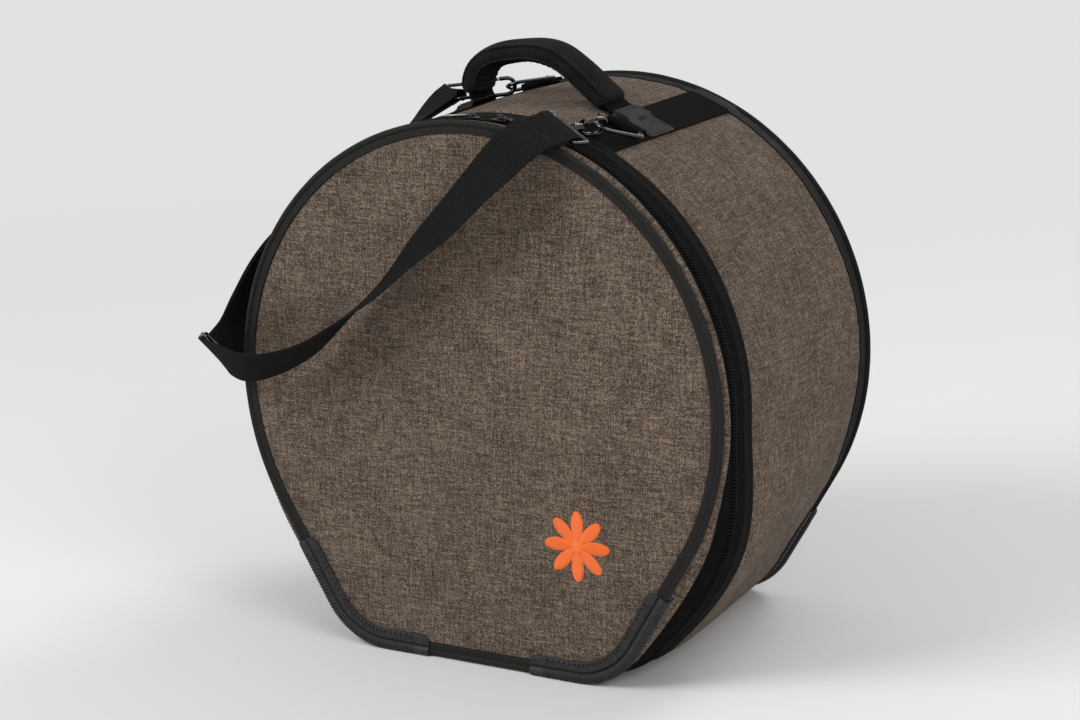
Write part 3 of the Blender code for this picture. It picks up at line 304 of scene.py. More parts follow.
def swell_at(t, depth):
    """How far the padding pushes the wall out over the lower corners."""
    s = half_length - np.abs(t)
    low = 0.36 * base_half_width
    high = corner_end + 0.365 * (half_length - corner_end)
    share = np.clip((s - low) / (high - low), 0, 1) ** 1.3
    deep = np.clip((depth - strip_start) / (bag_depth - 2 * strip_start), 0, 1) ** 0.45
    return 0.0235 * np.sin(np.pi * share) ** 2 * np.sin(np.pi * deep)


def ease_at(t, depth):
    """The small crown and the waves of the cloth between its seams."""
    t, depth = np.broadcast_arrays(np.asarray(t, float), np.asarray(depth, float))
    edge = np.clip(np.minimum(depth - wall_start, rear_tape_start + 0.001 - depth), 0, None)
    crown = 0.0019 * (1 - np.exp(-edge / 0.008))
    waves = 0.0007 * np.sin(t / 0.031 + 1.3 * np.sin(depth / 0.045)) * np.sin(depth / 0.037 + 0.8)
    waves += 0.0005 * np.sin(t / 0.017 + depth / 0.028 + 2.0 * np.sin(t / 0.09))
    pucker = 0.00045 * np.sin(t / 0.0026 + 1.7 * np.sin(t / 0.021)) * np.exp(-edge / 0.006)
    held = 1 - 0.92 * np.exp(-(((np.abs(t) - band_centre) / 0.026) ** 4))
    fade = np.clip(edge / 0.004, 0, 1)
    return (crown + waves + pucker) * held * fade


def spot_at(t, offset, depth, swell=1.0, ease=0.0, floor=None):
    """Points at distances along the outline, offsets out of it and depths behind the front."""
    x, z, out_x, out_z = outline_at(t)
    out = offset + swell * swell_at(t, depth) + ease * ease_at(t, depth)
    height = z + out_z * out + foot_height
    if floor is not None:
        height = np.maximum(height, floor)
    return np.stack(np.broadcast_arrays(middle_x + x + out_x * out, front_y + depth, height), -1)


def carry(t, offset, depth, swell=1.0, ease=0.0, floor=None):
    """A section of offsets and depths carried along the outline."""
    return spot_at(np.asarray(t, float)[:, None], np.atleast_2d(offset), np.atleast_2d(depth), swell, ease, floor)


def over_band(t):
    """1 where a webbing band lies under what crosses it, and 0 beside it."""
    return smooth(0.5 - (np.abs(np.abs(t) - band_centre) - webbing_width / 2) / 0.004)


print("most swelling", round(float(swell_at(np.linspace(0, half_length, 200), 0.08).max()) * 1000, 1), "mm")

# %% [markdown]
# ## Helpers that turn points into pieces
# Most pieces are a grid of points: one direction runs along the piece, the other round its section.
# Each point also keeps where it lies in the cloth, in metres along and across the threads. A material
# reads that place, so its weave, ribs and stitches follow the piece round every bend.

# %% Grids, lofts and paths
def new_piece(name, verts, faces, weave, sharp):
    """An object from points and faces, with each point's place in the cloth kept on its mesh."""
    mesh = bpy.data.meshes.new(name)
    mesh.from_pydata(np.asarray(verts, float).tolist(), [], faces)
    spots = mesh.attributes.new("weave", "FLOAT_VECTOR", "POINT")
    spots.data.foreach_set("vector", np.asarray(weave, np.float32).ravel())
    shell = bmesh.new()
    shell.from_mesh(mesh)
    bmesh.ops.recalc_face_normals(shell, faces=shell.faces)
    shell.to_mesh(mesh)
    shell.free()
    mesh.shade_smooth()
    mesh.set_sharp_from_angle(angle=math.radians(sharp))
    return add_object(name, mesh)


def surface(name, points, weave, ends=False, sharp=50):
    """A grid of points made into a surface, with its two ends filled where it is a solid."""
    n, m = points.shape[:2]
    spot = np.arange(n * m).reshape(n, m)
    quads = np.stack([spot[:-1, :-1], spot[1:, :-1], spot[1:, 1:], spot[:-1, 1:]], -1)
    faces = quads.reshape(-1, 4).tolist()
    if ends:
        faces += [spot[0, :-1].tolist(), spot[-1, :-1][::-1].tolist()]
    weave = np.broadcast_to(weave, (n, m, 3)).reshape(-1, 3)
    return new_piece(name, points.reshape(-1, 3), faces, weave, sharp)


def places_in_cloth(along, across, third=0.0):
    """The same place in the cloth for a whole grid, from its rows and its columns."""
    along, across, third = np.broadcast_arrays(along, across, third)
    return np.stack([along, across, third], -1)


def strip_round(name, t, offset, depths, ease=0.0, ends=False, across=False):
    """A strip carried round the bag. Its threads turn by a quarter where across is set."""
    place = (depths[None], t[:, None]) if across else (t[:, None], depths[None])
    return surface(name, carry(t, offset, depths, 1.0, ease), places_in_cloth(*place), ends)


# %% Directions and paths
rear = np.array([0.0, 1.0, 0.0])


def unit(v):
    v = np.asarray(v, float)
    return v / np.maximum(np.linalg.norm(v, axis=-1, keepdims=True), 1e-12)


def square_to(v, axis):
    """A direction turned square to an axis."""
    return unit(v - axis * np.sum(v * axis, -1, keepdims=True))


def upward(v):
    return -v if v[2] < 0 else v


def curve_through(points, per_span):
    """A smooth curve through points, with a few more points in each span."""
    p = np.asarray(points, float)
    p = np.vstack([2 * p[0] - p[1], p, 2 * p[-1] - p[-2]])
    result = []
    for i in range(1, len(p) - 2):
        a, b, c, d = p[i - 1], p[i], p[i + 1], p[i + 2]
        for step in range(per_span):
            k = step / per_span
            result.append(0.5 * (2 * b + (c - a) * k + (2 * a - 5 * b + 4 * c - d) * k * k
                                 + (3 * b - a - 3 * c + d) * k**3))
    result.append(p[-2])
    return np.array(result)


def lengths(path):
    """How far along a path each of its points lies."""
    return np.concatenate([[0.0], np.cumsum(np.linalg.norm(np.diff(path, axis=0), axis=1))])


def ways(path, closed=False):
    """The way ahead at each point of a path."""
    return unit(np.roll(path, -1, axis=0) - np.roll(path, 1, axis=0) if closed else np.gradient(path, axis=0))


def filled(loop, steps):
    """A closed line with more points on each of its straight pieces."""
    shares = np.linspace(0, 1, steps, endpoint=False)[:, None]
    return np.concatenate([a + (b - a) * shares for a, b in zip(loop, np.roll(loop, -1, axis=0))])


def arc(centre, first, second, radius, start, stop, steps):
    """Points on an arc between two angles in degrees."""
    a = np.radians(np.linspace(start, stop, steps + 1))[:, None]
    return centre + radius * (first * np.cos(a) + second * np.sin(a))


# %% Sections carried along a path
def loft(name, centres, firsts, seconds, section, closed=False, sharp=50):
    """A section, given in two directions, carried along a path."""
    section = np.asarray(section, float)
    section = np.broadcast_to(section, (len(centres),) + section.shape[-2:])
    section = np.concatenate([section, section[:, :1]], 1)
    points = centres[:, None] + firsts[:, None] * section[..., :1] + seconds[:, None] * section[..., 1:]
    along = lengths(centres)[:, None]
    if closed:
        points = np.concatenate([points, points[:1]])
        section = np.concatenate([section, section[:1]])
        along = np.concatenate([along, along[-1:] + np.linalg.norm(centres[0] - centres[-1])])
    return surface(name, points, places_in_cloth(along, section[..., 0], section[..., 1]), not closed, sharp)


def circle(radius, sides):
    a = np.linspace(0, 2 * np.pi, sides, endpoint=False)
    return np.stack([radius * np.cos(a), radius * np.sin(a)], -1)


def rolled_strip(width, thickness):
    """The section of webbing: flat faces and round edges."""
    half, thick = width / 2, thickness / 2
    a = np.linspace(-np.pi / 2, np.pi / 2, 8)
    right = np.stack([half - thick + thick * np.cos(a), thick * np.sin(a)], -1)
    flat = np.linspace(half - 2.5 * thick, -(half - 2.5 * thick), 9)
    top = np.stack([flat, thick + 0 * flat], -1)
    return np.concatenate([right, top, -right, -top])


def strip_along(name, path, across, section):
    """Webbing laid along a path, with its way across."""
    across = np.broadcast_to(across, path.shape)
    return loft(name, path, across, unit(np.cross(ways(path), across)), section)


def wire(name, path, normal, radius, sides=18, closed=False):
    """A round wire whose path lies in one plane."""
    normal = np.broadcast_to(unit(normal), path.shape)
    side = unit(np.cross(ways(path, closed), normal))
    return loft(name, path, side, normal, circle(radius, sides), closed, 60)


# %% Join, sew and settle
def join(name, pieces):
    """One piece from several, with their places in the cloth kept."""
    for piece in pieces[1:]:
        piece.select_set(False)
    with bpy.context.temp_override(active_object=pieces[0], object=pieces[0], selected_editable_objects=pieces,
                                   selected_objects=pieces):
        bpy.ops.object.join()
    pieces[0].name = name
    pieces[0].data.name = name
    return pieces[0]


def threads(name, starts, ends, ups, radius=0.00024, arch=0.00022):
    """Many short stitches in one piece: each is a thread that rises out of the cloth and dips back."""
    starts, ends = np.atleast_2d(starts), np.atleast_2d(ends)
    ups = unit(np.broadcast_to(ups, starts.shape))
    way = ends - starts
    side = unit(np.cross(unit(way), ups))
    shares = np.array([0.0, 0.1, 0.35, 0.65, 0.9, 1.0])
    lift = arch * np.array([-1.0, 0.35, 1.0, 1.0, 0.35, -1.0])
    wide = radius * np.array([0.5, 0.9, 1.0, 1.0, 0.9, 0.5])
    a = np.linspace(0, 2 * np.pi, 7)[:-1]
    middle = starts[:, None] + way[:, None] * shares[None, :, None] + ups[:, None] * lift[None, :, None]
    ring = side[:, None, None] * np.cos(a)[None, None, :, None] + ups[:, None, None] * np.sin(a)[None, None, :, None]
    points = middle[:, :, None] + ring * wide[None, :, None, None]
    count = len(starts)
    spot = np.arange(count * 36).reshape(count, 6, 6)
    after = np.roll(spot, -1, axis=2)
    quads = np.stack([spot[:, :-1], spot[:, 1:], after[:, 1:], after[:, :-1]], -1).reshape(-1, 4)
    faces = quads.tolist() + spot[:, 0].tolist() + spot[:, -1, ::-1].tolist()
    weave = np.broadcast_to(np.stack([shares, 0 * shares, 0 * shares], -1)[None, :, None], (count, 6, 6, 3))
    return new_piece(name, points.reshape(-1, 3), faces, weave.reshape(-1, 3), 80)


def settle(piece, material, body, slot, *nodes):
    """Give a piece its finish, the body it rides on, and the solids that it stands for."""
    piece.data.materials.clear()
    piece.data.materials.append(material)
    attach(piece, body)
    if nodes:
        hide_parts(*nodes)
    low, high = np.array([piece.matrix_world @ Vector(c) for c in piece.bound_box])[[0, 6]]
    print(f"{piece.name}: {len(piece.data.polygons)} faces, {np.round((high - low) * 1000, 1)} mm")


# %% [markdown]
# ## A short way to write materials
# A material is a small graph of nodes. Writing each node by hand hides the idea, so this helper turns
# a node into one call that returns its output. Colours that don't change over the piece go straight
# onto the shader.

# %% The material helper
def srgb(r, g, b):
    """A colour as a paint program shows it, as the light that the renderer works with."""
    return tuple(((c / 255 + 0.055) / 1.055) ** 2.4 if c > 10 else c / 255 / 12.92 for c in (r, g, b))


def grey(level):
    return srgb(level, level, level)


class Finish:
    """A material that is written as sums of textures."""

    def __init__(self, name, colour, roughness, **sockets):
        self.material = bpy.data.materials.new(name)
        self.material.use_nodes = True
        self.tree = self.material.node_tree
        self.set(Base_Color=colour, Roughness=roughness, **sockets)
        self.place = self.add("ShaderNodeAttribute", {}, attribute_name="weave").outputs["Vector"]
        self.along, self.across, self.third = self.add("ShaderNodeSeparateXYZ", {"Vector": self.place}).outputs

    def set(self, **sockets):
        """Link or give sockets of the shader."""
        for key, value in sockets.items():
            plug(self.tree, self.tree.nodes["Principled BSDF"].inputs[key.replace("_", " ")], value)

    def add(self, kind, inputs, **settings):
        return add_node(self.tree, kind, inputs, **settings)

    def sum(self, operation, a, b=0.0, c=0.0):
        return self.add("ShaderNodeMath", {0: a, 1: b, 2: c}, operation=operation).outputs[0]

    def times(self, a, b):
        return self.sum("MULTIPLY", a, b)

    def plus(self, a, b):
        return self.sum("ADD", a, b)

    def times_plus(self, a, b, c):
        return self.sum("MULTIPLY_ADD", a, b, c)

    def point(self, x, y, z=0.0):
        return self.add("ShaderNodeCombineXYZ", {0: x, 1: y, 2: z}).outputs[0]

    def cloud(self, place, scale, detail=2.0, rough=0.5):
        return self.add("ShaderNodeTexNoise", {"Vector": place, "Scale": scale, "Detail": detail,
                                               "Roughness": rough}).outputs["Fac"]

    def cells(self, place, scale, feature="F1"):
        return self.add("ShaderNodeTexVoronoi", {"Vector": place, "Scale": scale},
                        feature=feature).outputs["Distance"]

    def streaks(self, along, across, detail, rough):
        """A cloud drawn out one way, by how often it changes along and across the threads."""
        place = self.point(self.times(self.along, along), self.times(self.across, across))
        return self.cloud(place, 1.0, detail, rough)

    def spread(self, value, low, high, to_low=0.0, to_high=1.0):
        return self.add("ShaderNodeMapRange", {"Value": value, "From Min": low, "From Max": high,
                                               "To Min": to_low, "To Max": to_high}).outputs[0]

    def blend(self, share, first, second):
        return self.add("ShaderNodeMix", {0: share, 6: first, 7: second}, data_type="RGBA").outputs[2]

    def tones(self, value, stops):
        node = self.add("ShaderNodeValToRGB", {"Fac": value})
        ramp = node.color_ramp
        while len(ramp.elements) < len(stops):
            ramp.elements.new(0.5)
        for element, (place, colour) in zip(ramp.elements, stops):
            element.position = place
            element.color = (*colour, 1.0)
        return node.outputs["Color"]

    def ridges(self, value, pitch):
        """A wave that rises once in each pitch, from 0 to 1."""
        return self.times_plus(self.sum("SINE", self.times(value, math.tau / pitch)), 0.5, 0.5)

    def humps(self, value, pitch):
        """Round humps with sharp hollows between them, one in each pitch."""
        return self.sum("ABSOLUTE", self.sum("SINE", self.times(value, math.pi / pitch)))

    def weave(self, pitch):
        """Ridges both ways, which meet in small pillows."""
        return self.times(self.ridges(self.along, pitch), self.ridges(self.across, pitch))

    def done(self, colour, height, depth, strength, roughness=None):
        """Give the shader its colour and relief, and its roughness where that changes over the piece."""
        bump = self.add("ShaderNodeBump", {"Height": height, "Strength": strength, "Distance": depth})
        self.set(Base_Color=colour, Normal=bump.outputs["Normal"])
        if roughness is not None:
            self.set(Roughness=roughness)
        return self.material


# %% [markdown]
# ## The bag's cloth
# The outer cloth is a coarse brown plain weave of uneven yarn. Each thread changes its tone along its
# length, and a few run lighter or darker for a couple of centimetres, so the cloth looks flecked along
# and across. The material numbers the threads both ways, gives each its own slow noise, and shows the
# one that lies on top at each crossing. The small pillows of the weave go into the bump.

# %% Brown flecked cloth
def flecked_cloth(name, base, light, dark, pitch=0.0008):
    cloth = Finish(name, base, 0.95, Sheen_Weight=0.03, Sheen_Roughness=0.5, Specular_IOR_Level=0.08)
    first = cloth.sum("FLOOR", cloth.sum("DIVIDE", cloth.along, pitch))
    second = cloth.sum("FLOOR", cloth.sum("DIVIDE", cloth.across, pitch))

    def yarn(number, run, seed, length, slub):
        """Tones along each thread: quick flecks, and a slow change that slub gives its share."""
        spot = cloth.times(number, 1.37)
        fine = cloth.cloud(cloth.point(spot, cloth.sum("DIVIDE", run, length), seed), 1.0, 2.0, 0.7)
        slow = cloth.cloud(cloth.point(spot, cloth.sum("DIVIDE", run, 0.016), seed + 5.0), 1.0, 1.0, 0.5)
        return cloth.times_plus(slow, slub, cloth.times(fine, 1.0 - slub))

    lengthwise = yarn(first, cloth.across, 3.7, 0.0014, 0.3)
    crosswise = yarn(second, cloth.along, 9.1, 0.0024, 0.38)
    odd = cloth.sum("MODULO", cloth.sum("ABSOLUTE", cloth.plus(first, second)), 2.0)
    on_top = cloth.plus(cloth.times(lengthwise, odd), cloth.times(crosswise, cloth.sum("SUBTRACT", 1.0, odd)))
    both = cloth.times(cloth.plus(lengthwise, crosswise), 0.5)
    patchy = cloth.spread(cloth.cloud(cloth.place, 22.0, 2.0), 0.3, 0.7, -0.013, 0.013)
    tone = cloth.plus(cloth.times_plus(on_top, 0.35, cloth.times(both, 0.65)), patchy)
    colour = cloth.tones(tone, [(0.405, dark), (0.5, base), (0.595, light)])
    pillows = cloth.times(cloth.humps(cloth.along, pitch), cloth.humps(cloth.across, pitch))
    return cloth.done(colour, cloth.times_plus(tone, 0.8, pillows), 0.00022, 0.75)


brown_cloth = flecked_cloth("brown_flecked_cloth", srgb(93, 81, 71), srgb(142, 125, 110), srgb(50, 43, 38))

# %% [markdown]
# ## The front of the lid
# A stiff board behind the cloth keeps the front nearly flat, with a shallow crown that catches the
# light. It is built as rings that shrink from the outline to one point, so its edge follows the
# piping exactly, and its weave runs level and upright whatever the rings do.

# %% The front cloth
front_crown = 0.0026


def reach_of(x, z):
    """0 in the middle of a panel and 1 at its seam."""
    return np.hypot(x, z - round_centre_height) / (bag_radius - 0.006)


def front_at(x, z):
    """The front cloth's depth at a place seen from the front."""
    reach = reach_of(x, z)
    crown = front_crown * np.clip(1 - reach**2, 0, 1) ** 0.8
    ripple = 0.00035 * np.sin(x / 0.028 + 0.7 * np.sin(z / 0.035)) * np.sin(z / 0.04 + 1.1)
    return -(crown + ripple * np.clip((1 - reach) * 4, 0, 1))


def disc(name, offset, rings, depth_at, step=0.008):
    """A panel that fills the outline inside an offset, as rings that shrink to its middle."""
    x, z = moved_out(round_trip(step), offset)
    shrink = np.linspace(1, 0, rings + 1)[:, None] ** 0.8
    x, z = x[None] * shrink, 0.2 + (z[None] - 0.2) * shrink
    return surface(name, in_room(x, depth_at(x, z), z), places_in_cloth(x, z))


front_cloth = disc("front_cloth", inner_face_offset, 40, front_at)
settle(front_cloth, brown_cloth, "lid", "woven_cloth", "front_panel")

# %% [markdown]
# ## The wall of the bag
# The wall is one long strip of the same cloth, sewn in behind the zip's welt and under the rear tape.
# It swells over the lower corners and ripples slightly, by the functions above. Its threads run round
# the bag and from front to back, so its place in the cloth is the distance along and the depth.

# %% The wall's cloth
all_round = round_trip(0.004)
wall_depths = np.concatenate([np.linspace(wall_start - 0.0006, wall_start + 0.01, 12),
                              np.linspace(wall_start + 0.014, rear_tape_start - 0.006, 44),
                              np.linspace(rear_tape_start - 0.004, wall_end, 8)])
wall_cloth = strip_round("wall_cloth", all_round, -wall_inset + 0 * wall_depths, wall_depths, 1.0)
settle(wall_cloth, brown_cloth, "bag", "woven_cloth", "body_wall")

# %% [markdown]
# ## Rim, hinge and rear panel
# A narrow brown strip joins the lid's front to the zip. In the middle of the base there is no zip: a
# strip of cloth runs through and is the lid's hinge. Its sides go on under the zip's ends, so nothing
# gapes beside it.

# %% The lid's rim
zip_end = base_half_width - 0.0387
zip_end_t = half_length - zip_end
zip_t = round_trip(0.004, -zip_end_t, zip_end_t)


def rim_puff(t, depth):
    """How far the padding pushes the lid's rim out between the piping and the zip."""
    high = 0.0034 + 0.0032 * np.clip((t - 0.03) / 0.09, 0, 1) - 0.0018 * np.clip(-t / 0.06, 0, 1)
    high = high * np.clip(1 - swell_at(t, lid_strip_end) / 0.0065, 0, 1)
    high = high * np.clip((half_length - np.abs(t) - corner_end) / 0.05, 0, 1)
    share = np.clip((depth - strip_start + 0.0012) / (lid_strip_end - strip_start + 0.0014), 0, 1)
    return high * np.sin(np.pi * share**0.85) ** 0.7


rim_depths = np.linspace(strip_start - 0.0012, lid_strip_end + 0.0004, 19)
rim_offsets = -wall_inset - 0.0006 + rim_puff(zip_t[:, None], rim_depths[None])
rim = strip_round("lid_rim_cloth", zip_t, rim_offsets, rim_depths, across=True)
settle(rim, brown_cloth, "lid", "woven_cloth", "lid_rim")

# %% The cloth hinge
hinge_depths = np.linspace(0.0012, welt_end, 24)
hinge_half = zip_end - gap
under_zip = hinge_half + np.array([0.0008, 0.006, 0.012])
hinge_x = np.concatenate([-under_zip[::-1], np.linspace(-1, 1, 24) * hinge_half, under_zip])
hinge_tuck = 0.0019 * (np.abs(hinge_x) > hinge_half + 0.0001)
hinge_height = wall_inset + hinge_tuck[:, None] + 0.0004 * np.sin(hinge_depths[None] * 300)
hinge = surface("hinge_cloth", in_room(hinge_x[:, None], hinge_depths[None], hinge_height),
                places_in_cloth(hinge_depths[None], hinge_x[:, None]))
hinge.data.materials.append(brown_cloth)
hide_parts("hinge_strip")
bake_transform(hinge)
print("the hinge cloth is", round(2000 * float(under_zip[-1]), 1), "mm wide")


# %% The rear panel
def rear_at(x, z):
    """The rear cloth's depth at a place seen from the front."""
    reach = reach_of(x, z)
    wave = 0.0005 * np.sin(x / 0.033 + 0.4) * np.sin(z / 0.041)
    return bag_depth + (0.0016 * np.clip(1 - reach**2, 0, 1) ** 0.7 + wave * np.clip(1 - reach, 0, 1)) - 0.0004


rear_cloth = disc("rear_cloth", inner_face_offset, 40, rear_at)
settle(rear_cloth, brown_cloth, "bag", "woven_cloth", "rear_panel")

# %% [markdown]
# ## The lining
# Inside, a thin black lining covers the foam, and it rolls over the foam's edge at the mouth so that
# no raw foam shows when the lid is open. It is slacker than the outer cloth, so it has more creases.
# The same pieces stand for the foam, which nobody sees.

# %% Black lining
def black_lining():
    lining = Finish("black_lining", srgb(30, 30, 31), 0.75, Sheen_Weight=0.05, Specular_IOR_Level=0.15)
    creases = lining.cloud(lining.place, 26.0, 4.0, 0.55)
    tone = lining.spread(lining.cloud(lining.place, 12.0, 2.0), 0.35, 0.65)
    colour = lining.blend(tone, srgb(26, 26, 27), srgb(36, 36, 37))
    return lining.done(colour, lining.times_plus(creases, 9.0, lining.weave(0.0005)), 0.00028, 0.6)


lining_cloth = black_lining()
lining_inner, lining_back = -0.0141, 0.2452

# %% The lining of the wall
roll = np.linspace(0, np.pi, 9)
roll_radius = (inner_face_offset - lining_inner) / 2 - 0.0001
roll_offset = lining_inner + roll_radius + roll_radius * np.cos(roll)
roll_depth = wall_start + 0.0035 - 0.0035 * np.sin(roll)
inside_depth = np.linspace(wall_start + 0.006, lining_back, 40)
offsets = np.concatenate([[roll_offset[0]], roll_offset, lining_inner + 0 * inside_depth])
depths = np.concatenate([[wall_start + 0.02], roll_depth, inside_depth])
lining_t = round_trip(0.006)
slack = 0.0009 * np.abs(np.sin(lining_t[:, None] / 0.013 + 2 * np.sin(depths[None] / 0.05)))
slack = slack * np.clip((depths[None] - 0.07) / 0.03, 0, 1)
body_lining = strip_round("lining_wall", lining_t, offsets[None] - slack, depths, across=True)
settle(body_lining, lining_cloth, "bag", "lining", "body_lining", "body_padding")


# %% The lining of the rear and of the lid
def rear_lining_at(x, z):
    return lining_back - 0.0008 - 0.0014 * np.abs(np.sin(x / 0.045) * np.sin(z / 0.05 + 0.5))


rear_lining = disc("lining_rear", lining_inner, 30, rear_lining_at, 0.012)
settle(rear_lining, lining_cloth, "bag", "lining", "rear_lining", "rear_padding")


def lid_lining_at(x, z):
    slack = 0.0012 * np.abs(np.sin(x / 0.05 + 0.3) * np.sin(z / 0.047))
    return 0.0106 + slack * np.clip((1 - reach_of(x, z)) * 3, 0, 1)


lip_radius = 0.004
lid_lining = disc("lining_lid", inner_face_offset - lip_radius, 30, lid_lining_at, 0.012)
lip_a, lip_t = np.linspace(0, np.pi / 2, 7), round_trip(0.012)
lip_offset = np.concatenate([[inner_face_offset], inner_face_offset - lip_radius + lip_radius * np.cos(lip_a)])
lip_depth = np.concatenate([[0.0006], 0.0066 + lip_radius * np.sin(lip_a)])
lid_lip = surface("lining_lid_edge", carry(lip_t, lip_offset, lip_depth, 0.0),
                  places_in_cloth(lip_depth[None], lip_t[:, None]))
lid_lining = join("lining_lid", [lid_lining, lid_lip])
settle(lid_lining, lining_cloth, "lid", "lining", "lid_lining", "lid_padding")

# %% [markdown]
# ## Piping and tapes
# Piping is a strip of coated cloth folded round a cord and sewn into the corner seam. It has a fine
# streaky grain. A flat tape covers the seam beside it, narrow on the front and wide at the rear, and a
# row of small stitches holds each tape down near its free edge. At the rear, bead and tape get a darker
# copy of the same coated cloth: painted shade.

# %% Coated cloth of the piping
def coated_cloth(name, colour, lighter):
    coat = Finish(name, colour, 0.6, Specular_IOR_Level=0.12)
    streak = coat.streaks(900.0, 2600.0, 3.0, 0.6)
    patchy = coat.cloud(coat.place, 45.0, 3.0)
    tone = coat.blend(coat.spread(streak, 0.38, 0.72), colour, lighter)
    rough = coat.spread(patchy, 0.3, 0.7, 0.48, 0.68)
    return coat.done(tone, coat.times_plus(streak, 0.8, coat.weave(0.0009)), 0.00016, 0.7, rough)


piping_cloth = coated_cloth("coated_piping", grey(13), srgb(52, 51, 50))
# The rear bead and tape take the same coated cloth made darker: painted shade.
shaded_piping_cloth = coated_cloth("coated_piping_painted_shade", grey(7), srgb(29, 29, 28))

# %% Two beads
piping_radius = 0.0025
bead_a = np.linspace(np.pi, 3 * np.pi, 21)


def bead(name, depth):
    """A slightly uneven cord in its cloth, all round the bag."""
    t = all_round[:, None]
    uneven = 1 + 0.012 * np.sin(t / 0.008) + 0.01 * np.sin(t / 0.0031)
    offset = -piping_radius + piping_radius * uneven * np.cos(bead_a)[None]
    return surface(name, carry(all_round, offset, depth + piping_radius * np.sin(bead_a), 0.0),
                   places_in_cloth(t, piping_radius * bead_a[None]))


settle(bead("front_bead", 0.0), piping_cloth, "lid", "piping", "front_piping")
settle(bead("rear_bead", bag_depth), shaded_piping_cloth, "bag", "piping", "rear_piping")

# %% Two tapes
tape_across = np.linspace(0, 1, 9)
tape_offset = inner_face_offset + 0.0006 - (0.0052 + 0.0006) * tape_across
tape_rise = 0.0013 + 0.0002 * np.sin(np.pi * tape_across) - 0.0011 * (tape_across > 0.97)
flat_x, flat_z = moved_out(all_round[:, None], tape_offset)
front_tape = surface("front_tape_band", in_room(flat_x, front_at(flat_x, flat_z) - tape_rise, flat_z),
                     places_in_cloth(all_round[:, None], tape_offset[None]))
settle(front_tape, piping_cloth, "lid", "piping", "front_tape")

rear_tape_edge = rear_tape_start - 0.0042
rear_tape_depth = np.linspace(rear_tape_edge, wall_end + 0.001, 15)
rear_share = np.linspace(0, 1, 15)
rear_tape_rise = -wall_inset + 0.0013 - 0.0012 * (rear_share < 0.03)
rear_tape_rise = rear_tape_rise + 0.0006 * np.exp(-(((rear_share - 0.46) / 0.09) ** 2))
lifted = rear_tape_rise[None] + 0.0013 * over_band(all_round)[:, None]
rear_tape = strip_round("rear_tape_band", all_round, lifted, rear_tape_depth, 1.0)
settle(rear_tape, shaded_piping_cloth, "bag", "piping", "rear_tape")

# %% [markdown]
# ## Sewing thread
# Stitches are small, but they tell the eye how large the bag is. Each one is a short arched thread of
# real geometry, laid along the outline at an even pitch, which looks right from every side.

# %% Stitches on both tapes
def sewing_thread(name, colour):
    thread = Finish(name, colour, 0.6, Specular_IOR_Level=0.25)
    tone = thread.cloud(thread.point(thread.times(thread.along, 9.0), 0.0), 3.0, 1.0)
    return thread.done(thread.blend(tone, colour, tuple(c * 0.7 for c in colour)), tone, 0.0001, 0.4)


grey_thread = sewing_thread("grey_thread", srgb(60, 59, 58))
black_thread = sewing_thread("black_thread", srgb(14, 14, 15))


def row_of_stitches(name, place_at, start, stop, pitch, share):
    """Stitches along the outline: place_at gives the points and the way out of the cloth."""
    first = start + pitch * np.arange(int((stop - start) / pitch))
    starts, ups = place_at(first)
    return threads(name, starts, place_at(first + pitch * share)[0], ups, 0.00022, 0.00018)


def on_front(offset, lift):
    def place_at(t):
        x, z = moved_out(t, offset)
        return in_room(x, front_at(x, z) - lift, z), -rear
    return place_at


def on_wall(depth, offset, over=0.0):
    def place_at(t):
        return spot_at(t, offset + over * over_band(t), depth, 1.0, 1.0), outward_at(t)
    return place_at


for name, place_at, pitch, body in (
    ("front_tape_stitches", on_front(inner_face_offset - 0.0040, 0.0014), 0.0030, "lid"),
    ("rear_tape_stitches", on_wall(rear_tape_edge + 0.0016, -wall_inset + 0.0013, 0.0013), 0.0032, "bag"),
):
    row = row_of_stitches(name, place_at, -half_length, half_length - 0.003, pitch, 0.72)
    settle(row, grey_thread, body, "piping")

# %% [markdown]
# ## Corner guards
# Four moulded rubber guards clip over the piping at the lower corners and carry the bag. Each has fine
# ribs round its bead, smooth ends, and a flat flange that is sewn to the cloth, with a deep groove
# between the two. The section changes along the guard: the ribs fade out, and the flange ends round.
# The hollows between the ribs and the groove are darkened with painted shade.

# %% Ribbed rubber
rib_pitch = 0.0025


def moulded_rubber():
    rubber = Finish("moulded_rubber", grey(34), 0.5, Specular_IOR_Level=0.28)
    dust = rubber.cloud(rubber.place, 160.0, 4.0, 0.6)
    speck = rubber.cloud(rubber.place, 1400.0, 2.0, 0.6)
    tone = rubber.blend(rubber.spread(dust, 0.3, 0.75), grey(27), grey(47))
    # Painted shade: groove is 1 in the hollows between ribs, and seam is 1 in the groove between bead and flange.
    # There the colour goes towards grey(5).
    groove = rubber.spread(rubber.humps(rubber.along, rib_pitch), 0.15, 0.7, 1.0, 0.0)
    seam = rubber.spread(rubber.third, 1.1, 1.8)
    painted_groove_shade = rubber.sum("MAXIMUM", rubber.times(groove, rubber.third), seam)
    rough = rubber.spread(dust, 0.3, 0.7, 0.44, 0.62)
    return rubber.done(rubber.blend(painted_groove_shade, tone, grey(5)), speck, 0.00012, 0.6, rough)


black_rubber = moulded_rubber()

# %% The course of a guard
guard_radius, flange_round = 0.0045, 0.007
guard_low, guard_high = zip_end, corner_end + 0.85 * corner_radius
guard_t = np.arange(half_length - guard_high, half_length - guard_low, 0.00043)
guard_s = half_length - guard_t
guard_end = np.minimum(guard_s - guard_low, guard_high - guard_s)
rib_share = np.clip((guard_end - 0.011) / 0.003, 0, 1)
ribs = 0.0008 * rib_share * (np.abs(np.sin(np.pi * guard_t / rib_pitch)) - 0.6)
flange_cut = np.clip(flange_round - guard_end, 0, flange_round)
flange_cut = flange_round - np.sqrt(flange_round**2 - flange_cut**2)
thin_end = 1 - 0.12 * np.clip(1 - guard_end / 0.003, 0, 1) ** 2

